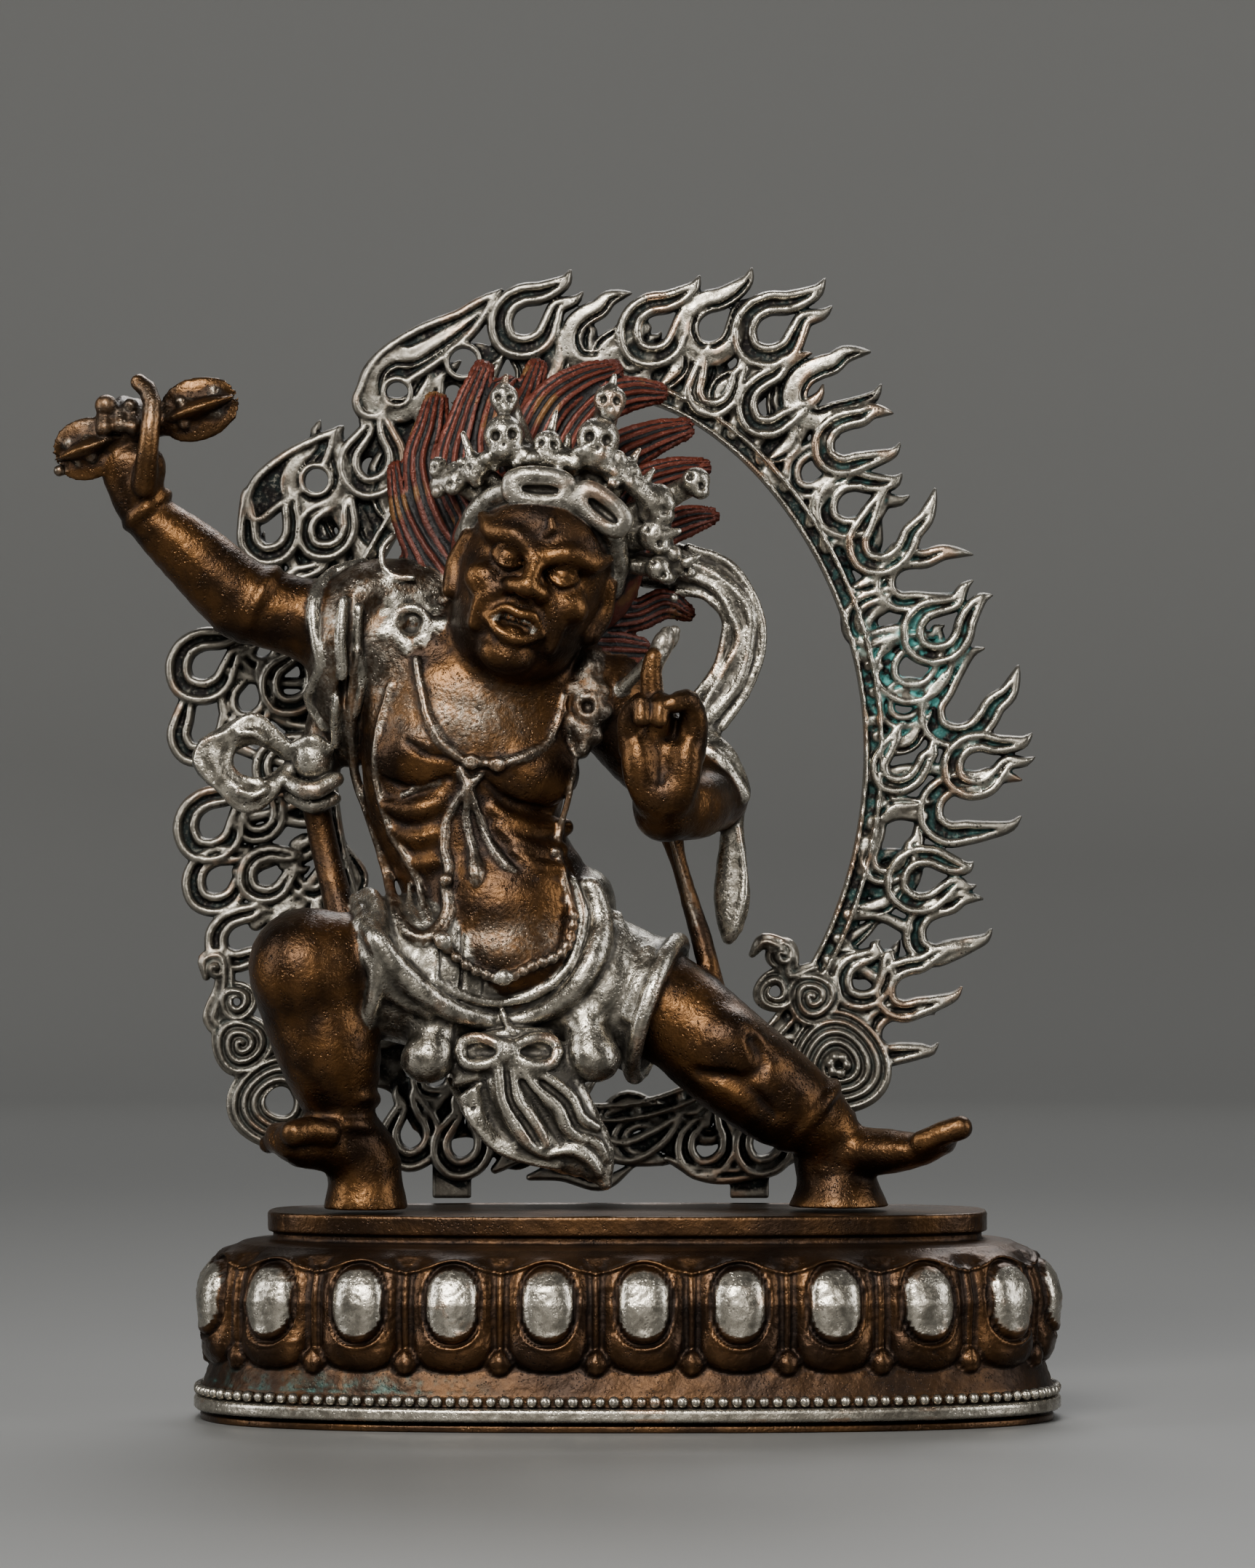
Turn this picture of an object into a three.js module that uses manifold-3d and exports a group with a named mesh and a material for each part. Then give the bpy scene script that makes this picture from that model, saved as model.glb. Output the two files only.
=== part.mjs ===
// A wrathful figure lunging on a lotus plinth before an openwork halo of flames: a small
// copper casting with silvered dress. Millimetres, +Z up. The origin is the middle of the
// underside, and the figure faces -Y.
import * as THREE from "three";
import { mergeVertices } from "three/addons/utils/BufferGeometryUtils.js";
import Module from "manifold-3d";

const wasm = await Module();
wasm.setup();

// Driving dimensions
const gap = 0.3; // clearance between touching pieces
const sheetThickness = 0.6; // base sheet that closes the hollow plinth
const plinth = {
  halfWidth: 35.7,
  halfDepth: 16,
  roundness: 2.7, // 2 is an oval
  top: 17.7,
  petals: 22,
  petalBulge: 1.8,
  petalShift: 0.17, // of a petal, round from the right-hand end
};
const halo = {
  x: -2.4, // the halo stands a little left of the plinth's middle
  z: 57.4,
  halfWidth: 23.1, // of the ring's opening
  halfHeight: 31,
  front: 10,
  thickness: 2.2,
  rootReach: 6.8, // from the opening to the roots of the flames
  drops: 28,
  dropReach: 3.4,
};
const headSize = { width: 6.5, depth: 6.4, height: 9.2, tilt: 0.33 };

// Joints of the body: [x, y, z]
const at = {
  pelvis: [-10.6, 0, 38],
  belly: [-10.6, -2, 43],
  waist: [-12.8, -1, 48],
  ribs: [-14, -0.6, 53],
  chest: [-13.6, -0.8, 59],
  neck: [-10.8, -1.6, 65],
  head: [-8.1, -4.2, 71.6],
  raisedShoulder: [-23, 0, 67],
  raisedElbow: [-33, -0.6, 70.2],
  raisedWrist: [-41.7, -2, 77.8],
  raisedPalm: [-42.6, -2.6, 81.6],
  foldedShoulder: [-2.4, 0.4, 61.6],
  foldedElbow: [7, 1.4, 53.2],
  foldedWrist: [3.1, -6.4, 51.8],
  foldedPalm: [3, -8.2, 55.8],
  bentHip: [-15, -0.6, 38],
  bentKnee: [-27.3, -6.4, 38.2],
  bentAnkle: [-24.3, -5.2, 26],
  bentHeel: [-22.6, -4, 22.4],
  bentToes: [-29.4, -8.4, 24.3],
  straightHip: [-5.5, 0, 37.6],
  straightKnee: [9, -3, 30.4],
  straightAnkle: [16.9, -1.4, 24.6],
  straightHeel: [17, -0.4, 21.6],
  straightToes: [27.6, -4.6, 24],
};

// Solids

function solid(geometry) {
  const bare = geometry.clone();
  bare.deleteAttribute("normal");
  bare.deleteAttribute("uv");
  const merged = mergeVertices(bare, 1e-4);
  return new wasm.Manifold(
    new wasm.Mesh({
      numProp: 3,
      vertProperties: new Float32Array(merged.attributes.position.array),
      triVerts: new Uint32Array(merged.index.array),
    }),
  );
}

function join(solids) {
  return solids.reduce((whole, piece) => whole.add(piece));
}

function meshOf(name, whole, material) {
  const { vertProperties, triVerts } = whole.getMesh();
  const geometry = new THREE.BufferGeometry();
  geometry.setAttribute("position", new THREE.BufferAttribute(vertProperties, 3));
  geometry.setIndex(new THREE.BufferAttribute(triVerts, 1));
  geometry.computeVertexNormals();
  const mesh = new THREE.Mesh(geometry, material);
  mesh.name = name;
  return mesh;
}

// Closes a stack of rings, each with the same number of points, into a solid.
function skinRings(rings, startPole, endPole) {
  const sides = rings[0].length;
  const points = [...rings.flat(), startPole, endPole];
  const faces = [];
  const start = points.length - 2;
  const end = points.length - 1;
  const last = (rings.length - 1) * sides;
  for (let j = 0; j < sides; j++) {
    const k = (j + 1) % sides;
    faces.push(start, k, j, end, last + j, last + k);
    for (let row = 0; row < last; row += sides) {
      faces.push(row + j, row + k, row + sides + k, row + j, row + sides + k, row + sides + j);
    }
  }
  const geometry = new THREE.BufferGeometry().setFromPoints(points);
  geometry.setIndex(faces);
  return solid(geometry);
}

// A limb runs through stations [point, width, depth]: half sizes across and along Y. Its
// ends are blunt domes. Depth is the width where it isn't given.
function limb(stations, { sides = 7, steps = 1, facing = [0, 1, 0] } = {}) {
  const spots = stations.map(([point]) => new THREE.Vector3(...point));
  const path = new THREE.CatmullRomCurve3(spots, false, "catmullrom", 0.5);
  const sizes = stations.map(([, width, depth = width]) => new THREE.Vector3(width, depth, 0));
  const sizePath = new THREE.CatmullRomCurve3(sizes, false, "catmullrom", 0.5);
  const count = (stations.length - 1) * steps;
  const face = new THREE.Vector3(...facing);

  function ringAt(t, shrink, push) {
    const tangent = path.getTangent(t);
    const deep = face.clone().addScaledVector(tangent, -face.dot(tangent)).normalize();
    const wide = deep.clone().cross(tangent);
    const size = sizePath.getPoint(t);
    const centre = path.getPoint(t).addScaledVector(tangent, push * Math.min(size.x, size.y));
    return Array.from({ length: sides }, (_, j) => {
      const turn = (2 * Math.PI * (j + 0.5)) / sides;
      return centre
        .clone()
        .addScaledVector(wide, shrink * size.x * Math.cos(turn))
        .addScaledVector(deep, shrink * size.y * Math.sin(turn));
    });
  }

  const rings = Array.from({ length: count + 1 }, (_, i) => ringAt(i / count, 1, 0));
  const [startPole] = ringAt(0, 0, -0.5);
  const [endPole] = ringAt(1, 0, 0.5);
  return skinRings(rings, startPole, endPole);
}

function ball([x, y, z], [rx, ry, rz], { tilt = 0, across = 8, up = 6 } = {}) {
  const geometry = new THREE.SphereGeometry(1, across, up).rotateX(Math.PI / 2);
  geometry.scale(rx, ry, rz).rotateY(tilt).translate(x, y, z);
  return solid(geometry);
}

// A point placed in the head's own tilted frame, from the middle of the head.
function onHead(x, y, z) {
  const point = new THREE.Vector3(x, y, z).applyAxisAngle(new THREE.Vector3(0, 1, 0), headSize.tilt);
  return point.add(new THREE.Vector3(...at.head)).toArray();
}

function between(a, b, share) {
  return a.map((value, i) => value + (b[i] - value) * share);
}

// A flat shape in the XZ plane, from y = front to front + thickness.
function plate(outline, front, thickness, holes = []) {
  const shape = new THREE.Shape(outline);
  shape.holes = holes.map((hole) => new THREE.Path(hole));
  const geometry = new THREE.ExtrudeGeometry(shape, { depth: thickness, bevelEnabled: false });
  return solid(geometry.rotateX(Math.PI / 2).translate(0, front + thickness, 0));
}

// Plinth

// The plinth's plan is a rounded oblong, walked at an even pace: share 0 to 1 round it.
const plan = (() => {
  const fine = 1440;
  const power = 2 / plinth.roundness;
  const points = Array.from({ length: fine + 1 }, (_, i) => {
    const turn = (2 * Math.PI * i) / fine;
    const c = Math.cos(turn);
    const s = Math.sin(turn);
    return new THREE.Vector2(
      plinth.halfWidth * Math.sign(c) * Math.abs(c) ** power,
      plinth.halfDepth * Math.sign(s) * Math.abs(s) ** power,
    );
  });
  const lengths = [0];
  for (let i = 1; i <= fine; i++) lengths.push(lengths[i - 1] + points[i].distanceTo(points[i - 1]));
  return { points, lengths };
})();

function planPoint(share, out, z) {
  const { points, lengths } = plan;
  const goal = (((share % 1) + 1) % 1) * lengths.at(-1);
  let i = lengths.findIndex((length) => length > goal);
  if (i < 1) i = 1;
  const along = (goal - lengths[i - 1]) / (lengths[i] - lengths[i - 1]);
  const point = points[i - 1].clone().lerp(points[i], along);
  const edge = points[i].clone().sub(points[i - 1]).normalize();
  return new THREE.Vector3(point.x + edge.y * out, point.y - edge.x * out, z);
}

function sweepPlan(columns, profile, shift = 0) {
  const rings = profile.map(([out, z, bulge = () => 0]) =>
    Array.from({ length: columns }, (_, i) => planPoint(i / columns + shift, out + bulge(i / columns), z)),
  );
  const low = new THREE.Vector3(0, 0, profile[0][1]);
  const high = new THREE.Vector3(0, 0, profile.at(-1)[1]);
  return skinRings(rings, low, high);
}

function petalBulge(z) {
  const middle = 10;
  const halfHeight = 5.2;
  return (share) => {
    const across = ((share * plinth.petals) % 1) - 0.5;
    const inside = 1 - 4 * across ** 2 - ((z - middle) / halfHeight) ** 2;
    return plinth.petalBulge * Math.sqrt(Math.max(inside, 0));
  };
}

function makePlinth() {
  const columnsPerPetal = 3; // one in each valley, two on each petal
  const foot = sheetThickness + gap;
  const petalRow = [5.6, 8.2, 11.4, 14.4].map((z) => {
    const swell = 0.6 - 0.03 * (z - 9) ** 2;
    return [swell, z, petalBulge(z)];
  });
  const profile = [
    [1.4, foot],
    [1.4, 2.9],
    ...petalRow,
    [-2.8, 15.4],
  ];
  const body = sweepPlan(plinth.petals * columnsPerPetal, profile, plinth.petalShift / plinth.petals);
  const rim = sweepPlan(32, [
    [-5.4, 14.6],
    [-5.4, plinth.top - 1.7],
    [-4.9, plinth.top - 1.5],
    [-4.9, plinth.top],
  ]);
  return body.add(rim);
}

function makeBaseSheet() {
  return sweepPlan(32, [
    [0.9, 0],
    [0.9, sheetThickness],
  ]);
}

// Halo of flames

function ringPoint(turn, out) {
  const rise = Math.sin(turn);
  const pinch = 1 - 0.1 * Math.max(rise, 0) ** 2; // the ring is a little pointed at the top
  const x = halo.halfWidth * Math.cos(turn) * pinch;
  const z = halo.halfHeight * rise;
  const normal = new THREE.Vector2(x / halo.halfWidth ** 2, z / halo.halfHeight ** 2).normalize();
  return [halo.x + x + normal.x * out, halo.z + z + normal.y * out];
}

// Curls of flame, all blown up and to the right: [hole x, hole z, tip x, tip z].
const curls = [
  [-20.4, 89.1, -10.7, 97.9],
  [-9.2, 94.6, -4.6, 99.9],
  [-3.2, 93.4, 0.4, 97.9],
  [2.1, 93.8, 6.4, 98.9],
  [7.1, 94, 11, 99.9],
  [12.2, 93.8, 17.6, 98.6],
  [16.6, 88.3, 21.6, 92],
  [18.9, 84, 23.4, 86.6],
  [19.2, 78.6, 24.2, 81.6],
  [22, 75.4, 26.9, 80.5],
  [24.4, 71.4, 30.4, 74.6],
  [26.8, 67.6, 31.9, 71],
  [28.7, 60.6, 34.3, 65],
  [30.4, 55.8, 35.7, 58.9],
  [28.3, 51.4, 34.6, 54.4],
  [25.4, 45.8, 30.4, 47.6],
  [27, 40.6, 31.3, 44.4],
  [24.6, 36.4, 30.6, 40.2],
  [23, 32.4, 26.8, 34.2],
  [-22.5, 82.2, -21, 87.4],
  [-27.4, 80.6, -25, 86],
  [-31.4, 76.2, -30.4, 80.6],
  [-32.6, 70.4, -28.6, 73.4],
  [-37.4, 64.6, -33.6, 68.6],
  [-37.6, 58.8, -35.6, 62.2],
  [-36.8, 50.4, -34, 54.4],
  [-36.2, 45.6, -33, 49],
  [-34.4, 40.4, -31, 43],
  [-28, 34.4, -24.6, 37.8],
  [-27, 28.6, -23.6, 32],
  [-19, 23.2, -18.4, 28.2],
  [-14.6, 22.4, -13.2, 27.6],
  [6.8, 22.4, 8.6, 27.2],
  [11.8, 22.8, 14, 27.6],
];
const curlSize = 2.5;

// A curl is a bowl round a drop-shaped hole, with a long tip and a short one. Points are
// [along, across] in units of the bowl's radius, and the long tip comes in between.
const bowlEdge = [
  [0.7, 1],
  [-0.5, 0.88],
  [-1, 0],
  [-0.5, -0.88],
  [0.8, -1],
  [1.7, -1.25],
  [1, -0.3],
];
const dropEdge = [
  [-0.45, 0],
  [0.1, 0.42],
  [0.8, 0.05],
  [0.1, -0.42],
];

function curlPlate([x, z, tipX, tipZ], size) {
  const reach = Math.hypot(tipX - x, tipZ - z);
  const [c, s] = [(tipX - x) / reach, (tipZ - z) / reach];
  const place = ([along, across]) =>
    new THREE.Vector2(x + (along * c - across * s) * size, z + (along * s + across * c) * size);
  const tip = [reach / size, 0];
  const outline = [...bowlEdge, tip].map(place);
  return plate(outline, halo.front, halo.thickness, [dropEdge.map(place)]);
}

// The roots of the flames reach further from the opening on the left of the halo.
function rootReach(turn) {
  return halo.rootReach + 3.4 * Math.max(-Math.cos(turn), 0);
}

// The ring and the roots of the flames are one band, pierced by slanting drops.
function makeBand() {
  const { front, thickness, drops, dropReach } = halo;
  const around = (count, reach) =>
    Array.from({ length: count }, (_, i) => {
      const turn = (2 * Math.PI * i) / count;
      return new THREE.Vector2(...ringPoint(turn, reach(turn)));
    });
  const drop = (turn, out) =>
    dropEdge.map(([along, across]) => {
      const spot = ringPoint(turn + 0.05 * along - 0.09 * across, out + 2.6 * along);
      return new THREE.Vector2(...spot);
    });
  const inner = Array.from({ length: drops }, (_, i) => drop((2 * Math.PI * (i + 0.5)) / drops, dropReach));
  const outer = Array.from({ length: 7 }, (_, i) => drop(2.5 + 0.2 * i, dropReach + 3.9));
  return plate(around(44, rootReach), front, thickness, [around(32, () => 0), ...inner, ...outer]);
}

// Curling clouds stand in front of the flames at each side: [x, z, radius].
const clouds = [
  [18.4, 29.8, 4.7],
  [16.4, 35.6, 2.6],
  [12.8, 36, 2],
  [13.4, 38.6, 1.7],
  [-36, 38.2, 1.3],
  [-35.8, 35.4, 1.8],
  [-34, 31.6, 2.8],
  [-32.6, 27.2, 3.4],
  [-31.4, 23.8, 3],
];

function oval([x, z, radius], sides) {
  return Array.from({ length: sides }, (_, i) => {
    const turn = (2 * Math.PI * i) / sides;
    return new THREE.Vector2(x + radius * Math.cos(turn), z + radius * Math.sin(turn));
  });
}

function makeHalo() {
  const { front, thickness } = halo;
  const feet = [-15.4, 10.7].map((x) => {
    const corners = [-1.8, 1.8, 1.8, -1.8];
    const outline = corners.map((side, i) => new THREE.Vector2(x + side, i < 2 ? plinth.top + gap : 21));
    return plate(outline, front, thickness);
  });
  return join([
    makeBand(),
    ...curls.map((row) => curlPlate(row, curlSize)),
    ...clouds.map((place) => plate(oval(place, 8), front - 1, thickness + 0.6)),
    ...feet,
  ]);
}

// Figure

function makeTorso() {
  const { pelvis, belly, waist, ribs, chest, neck } = at;
  const sash = [
    [-20.6, -4.2, 60],
    [-21.4, -5, 53.4],
    [-19.5, -6.4, 47],
    [-18.2, -7.4, 41.6],
    [-15.7, -7.8, 41.6],
    [-15.6, -7.4, 46],
  ];
  const necklace = [
    [-17.9, -4.4, 64.4],
    [-16, -6, 57.6],
    [-12.4, -6.6, 55.6],
    [-7.2, -6.2, 57.2],
    [-5.4, -5, 60],
  ];
  return [
    limb(
      [
        [pelvis, 9, 6.2],
        [belly, 8, 6.2],
        [waist, 7.6, 5.4],
        [ribs, 8.6, 5.6],
        [chest, 9.6, 6],
        [[-12.6, 0, 63.4], 10.4, 5],
        [neck, 4.6, 4.4],
      ],
      { sides: 9 },
    ),
    ball([-17.9, -3.6, 56.2], [4.2, 3, 2.8], { across: 6, up: 4 }),
    ball([-8.6, -3.4, 54.8], [4.4, 3, 3.2], { across: 6, up: 4 }),
    limb(sash.map((point) => [point, 0.8]), { sides: 4 }),
    limb(necklace.map((point) => [point, 0.7]), { sides: 4 }),
  ];
}

// A mask of a wrathful guardian: heavy brows, broad nose, round cheeks, bared mouth.
function makeHead() {
  const { width, depth, height, tilt } = headSize;
  const knobs = [
    [[0, -5.2, 2.8], [5, 1.5, 1]],
    [[-3.8, -4.4, -1.8], [2, 1.7, 1.8]],
    [[3.8, -4.4, -1.8], [2, 1.7, 1.8]],
    [[0, -6, -1], [1.5, 1.4, 1.3]],
    [[0, -5, -4.4], [2.7, 1.4, 1]],
    [[0, -3.6, -7.4], [2.4, 2, 1.6]],
  ];
  const features = knobs.map(([place, sizes]) => ball(onHead(...place), sizes, { tilt, across: 6, up: 3 }));
  return [ball(at.head, [width, depth, height], { tilt, across: 8, up: 7 }), ...features];
}

// Locks of hair stand out round the back of the head like tongues of fire.
function makeHair() {
  const crownOfHair = onHead(0.6, 3, 3.4);
  const tips = [
    [-18.6, 75],
    [-19, 82.2],
    [-15.2, 87.6],
    [-10.2, 89.6],
    [-3.4, 89.6],
    [1.4, 87.4],
    [4.8, 83.4],
    [6.2, 77.6],
    [4.6, 69.6],
  ];
  const locks = tips.map(([x, z], i) => {
    const tip = [x, 2.2 + 1.2 * Math.sin(2 * i), z];
    return limb(
      [
        [between(crownOfHair, tip, 0.4), 2.6, 2.2],
        [between(crownOfHair, tip, 0.72), 2.4, 2],
        [tip, 1.2, 1],
      ],
      { sides: 5 },
    );
  });
  const cap = ball(crownOfHair, [9, 4.4, 8.4], { tilt: headSize.tilt, across: 7, up: 5 });
  return [cap, ...locks];
}

// A band of two plaques round the brow carries skull finials.
function makeCrown() {
  const { tilt } = headSize;
  const band = limb(
    [
      [onHead(-7.4, -1, 4.4), 1.6, 0.9],
      [onHead(-3.4, -5.4, 5.4), 1.9, 1],
      [onHead(3.4, -5.4, 5.4), 1.9, 1],
      [onHead(7.4, -1, 4.4), 1.6, 0.9],
    ],
    { sides: 5, facing: [0, 1, 0] },
  );
  const finials = [
    [-6.6, 1.2, 10.6],
    [-2.2, 1.9, 16.6],
    [1.2, 1.4, 11.4],
    [4.4, 1.9, 15],
    [7.4, 1.4, 9.6],
    [9.4, 1.5, 5],
  ];
  const skulls = finials.map(([x, size, height]) => {
    const foot = onHead(x * 0.8, -4.6 + 0.05 * x * x, 6 - 0.03 * x * x);
    const tip = onHead(x * 1.15, -3, height);
    const stations = [
      [between(foot, tip, 0.1), size * 1.2],
      [between(foot, tip, 0.4), size * 1.2],
      [between(foot, tip, 0.55), size * 0.6],
      [between(foot, tip, 0.76), size],
      [tip, 0.3],
    ];
    return limb(stations, { sides: 4 });
  });
  return [band, ...skulls];
}

function makeRaisedArm() {
  const { raisedShoulder, raisedElbow, raisedWrist, raisedPalm } = at;
  const grip = [0, 1, 2].map((i) => {
    const x = -44.8 + 1.4 * i;
    const knuckles = [
      [[x + 0.8, -1.6, 82.4], 1],
      [[x, 0.2, 85.2], 0.9],
      [[x, -2.4, 86.6 - 0.1 * i], 0.85],
    ];
    return limb(knuckles, { sides: 5 });
  });
  const pointing = [
    [raisedPalm, 1.1],
    [[-40.7, -4.8, 83.6], 0.9],
    [[-40.6, -4.4, 86], 0.8],
    [[-41.4, -3.2, 88.2], 0.7],
  ];
  return [
    limb(
      [
        [[-17, 0, 63.6], 5.4, 4.4],
        [raisedShoulder, 4.8, 4.2],
        [[-28, -0.2, 68.5], 3.4],
        [raisedElbow, 3.5],
        [between(raisedElbow, raisedWrist, 0.5), 2.9],
        [between(raisedElbow, raisedWrist, 0.93), 2.2],
        [between(raisedElbow, raisedWrist, 0.95), 2.8],
        [between(raisedElbow, raisedWrist, 1.02), 2.8],
        [raisedPalm, 2.4, 1.7],
      ],
      { sides: 8 },
    ),
    limb(pointing, { sides: 5 }),
    ...grip,
  ];
}

// The thunderbolt sceptre is turned about its own axis: [along, radius] from its middle.
function makeSceptre() {
  const half = [
    [0, 1.2],
    [1, 0.9],
    [1.8, 1.6],
    [2.8, 1.2],
    [4.6, 2.7],
    [6.6, 2.3],
    [7.8, 0.8],
  ];
  const mirrored = half.slice(1).reverse();
  const profile = [
    new THREE.Vector2(0, -8.2),
    ...mirrored.map(([along, radius]) => new THREE.Vector2(radius, -along)),
    ...half.map(([along, radius]) => new THREE.Vector2(radius, along)),
    new THREE.Vector2(0, 8.2),
  ];
  const geometry = new THREE.LatheGeometry(profile, 8);
  geometry.rotateZ(-Math.PI / 2).rotateY(-0.36).translate(-41.5, -2.8, 84.5);
  return [solid(geometry)];
}

// The folded arm holds its palm before the shoulder, with the first finger raised.
function makeFoldedArm() {
  const { foldedShoulder, foldedElbow, foldedWrist, foldedPalm } = at;
  const fingers = [
    [
      [[2.2, -8.2, 58.2], 1],
      [[2, -8.4, 61.6], 0.9],
      [[2.3, -8.6, 64.4], 0.6],
    ],
    [
      [[0.6, -8.4, 57.6], 0.95],
      [[0.2, -9.8, 59.8], 0.85],
      [[1.4, -10.4, 59], 0.7],
    ],
    ...[3.8, 5.2].map((x) => [
      [[x, -8.2, 58.2], 0.95],
      [[x, -9.8, 60], 0.9],
      [[x - 0.6, -10.6, 58.4], 0.8],
    ]),
  ];
  return [
    limb(
      [
        [[-8, 0, 60.6], 4.6],
        [foldedShoulder, 4.2],
        [[2.4, 1, 56.2], 3.7],
        [foldedElbow, 3.4],
      ],
    ),
    limb(
      [
        [foldedElbow, 3.2],
        [[5.4, -3, 52.4], 3],
        [foldedWrist, 2.4],
      ],
      { facing: [0, 0, 1] },
    ),
    limb(
      [
        [foldedWrist, 2.2, 2],
        [foldedPalm, 3.1, 1.6],
        [[3, -8.2, 59], 2.6, 1.1],
      ],
    ),
    ...fingers.map((finger) => limb(finger, { sides: 4 })),
  ];
}

// A foot stands on a round pad, flat below.
function pad([x, y], top, low, high) {
  const bottom = plinth.top + gap;
  const geometry = new THREE.CylinderGeometry(high, low, top - bottom, 9).rotateX(Math.PI / 2);
  return solid(geometry.translate(x, y, (bottom + top) / 2));
}

// The toes are a knobbly ridge, thickest at the big toe.
function toes(first, last) {
  const knobs = [0, 0.3, 0.6, 1].map((share) => [between(first, last, share), 0.9 + 0.3 * share]);
  return limb(knobs, { sides: 5, facing: [0, 0, 1] });
}

function makeBentLeg() {
  const { bentHip, bentKnee, bentAnkle, bentHeel, bentToes } = at;
  return [
    limb(
      [
        [bentHip, 6, 5.6],
        [[-22, -4, 38.6], 5.2, 4.8],
        [bentKnee, 4.6],
      ],
      { facing: [0, 0, 1] },
    ),
    limb(
      [
        [[-27.3, -5.8, 39], 4.6],
        [[-26.4, -5.6, 35], 4.7],
        [[-25.2, -5.4, 31], 4.3],
        [bentAnkle, 2.8],
        [bentHeel, 3, 3.2],
      ],
    ),
    limb(
      [
        [bentHeel, 2.4],
        [between(bentHeel, bentToes, 0.75), 2.2, 2.6],
        [bentToes, 1.4, 2.6],
      ],
      { sides: 7, facing: [0.5, 1, 0] },
    ),
    toes([-30.4, -6.6, 23.6], [-27.8, -10.4, 25]),
    pad([-22.3, -4], 22, 3.5, 2.8),
  ];
}

function makeStraightLeg() {
  const { straightHip, straightKnee, straightAnkle, straightHeel, straightToes } = at;
  return [
    limb(
      [
        [straightHip, 6.4, 5.6],
        [[2.6, -1.8, 35.4], 4.7],
        [straightKnee, 4.5],
        [[13.2, -2.4, 27.2], 4.1],
        [straightAnkle, 3],
        [straightHeel, 2.6],
      ],
    ),
    limb(
      [
        [straightHeel, 2.4, 2.2],
        [[21.2, -2.4, 22.8], 2, 2.4],
        [[25, -3.8, 22.9], 1.4, 2.3],
        [straightToes, 1.2, 1.9],
      ],
    ),
    toes([27.9, -2.6, 24.3], [28.5, -6.2, 24.8]),
    pad([18.1, -0.4], 21, 4.3, 3),
  ];
}

// The skirt is short and parts over the thighs, with rolled hems, a belt and an apron.
function makeSkirt() {
  const { pelvis } = at;
  const belt = [
    [-21.8, -2, 44.6],
    [-19.6, -5.4, 38.8],
    [-15.4, -7.8, 34.4],
    [-8, -8.2, 33.8],
    [-2, -6, 40.4],
    [-3, -3, 45.6],
  ];
  const waistBow = [
    [[-13.6, -8.2, 31.6], 1.2, 1],
    [[-10.3, -8.8, 31.2], 0.6, 0.8],
    [[-7, -8.2, 31.6], 1.2, 1],
  ];
  const folds = [-1, 1.6].map((shift) => [
    [[-10.4 + shift, -8.2, 31], 0.9],
    [[-9 + shift * 1.4, -9, 26.8], 1],
    [[-4.6 + shift * 0.7, -8.2, 22.8], 0.6],
  ]);
  return [
    limb(
      [
        [pelvis, 9, 6.6],
        [[-16, -2.4, 38.2], 7.4, 6.8],
        [[-20.8, -3.4, 38.5], 6, 5.9],
        [[-22, -3.7, 38.6], 6.7, 6.5],
      ],
    ),
    limb(
      [
        [pelvis, 9, 6.6],
        [[-4, -0.8, 36.8], 7.2, 6.6],
        [[0.6, -1.3, 35.4], 6, 5.8],
        [[1.8, -1.6, 34.9], 6.7, 6.4],
      ],
    ),
    limb(belt.map((point) => [point, 1.5, 1.8]), { sides: 5 }),
    ball([-16.8, -7.6, 32], [2.2, 2.2, 2.9], { across: 6, up: 4 }),
    ball([-2.8, -7.2, 32], [2.2, 2.2, 3], { across: 6, up: 4 }),
    limb(waistBow, { sides: 5 }),
    limb(
      [
        [[-10.2, -7, 32.6], 4.6, 2],
        [[-8.8, -7.8, 28.4], 5, 1.7],
        [[-6.4, -7.4, 24.4], 4.3, 1.4],
        [[-2.6, -6.6, 20.6], 1.4, 1],
      ],
      { sides: 6 },
    ),
    ...folds.map((fold) => limb(fold, { sides: 4 })),
  ];
}

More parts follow.
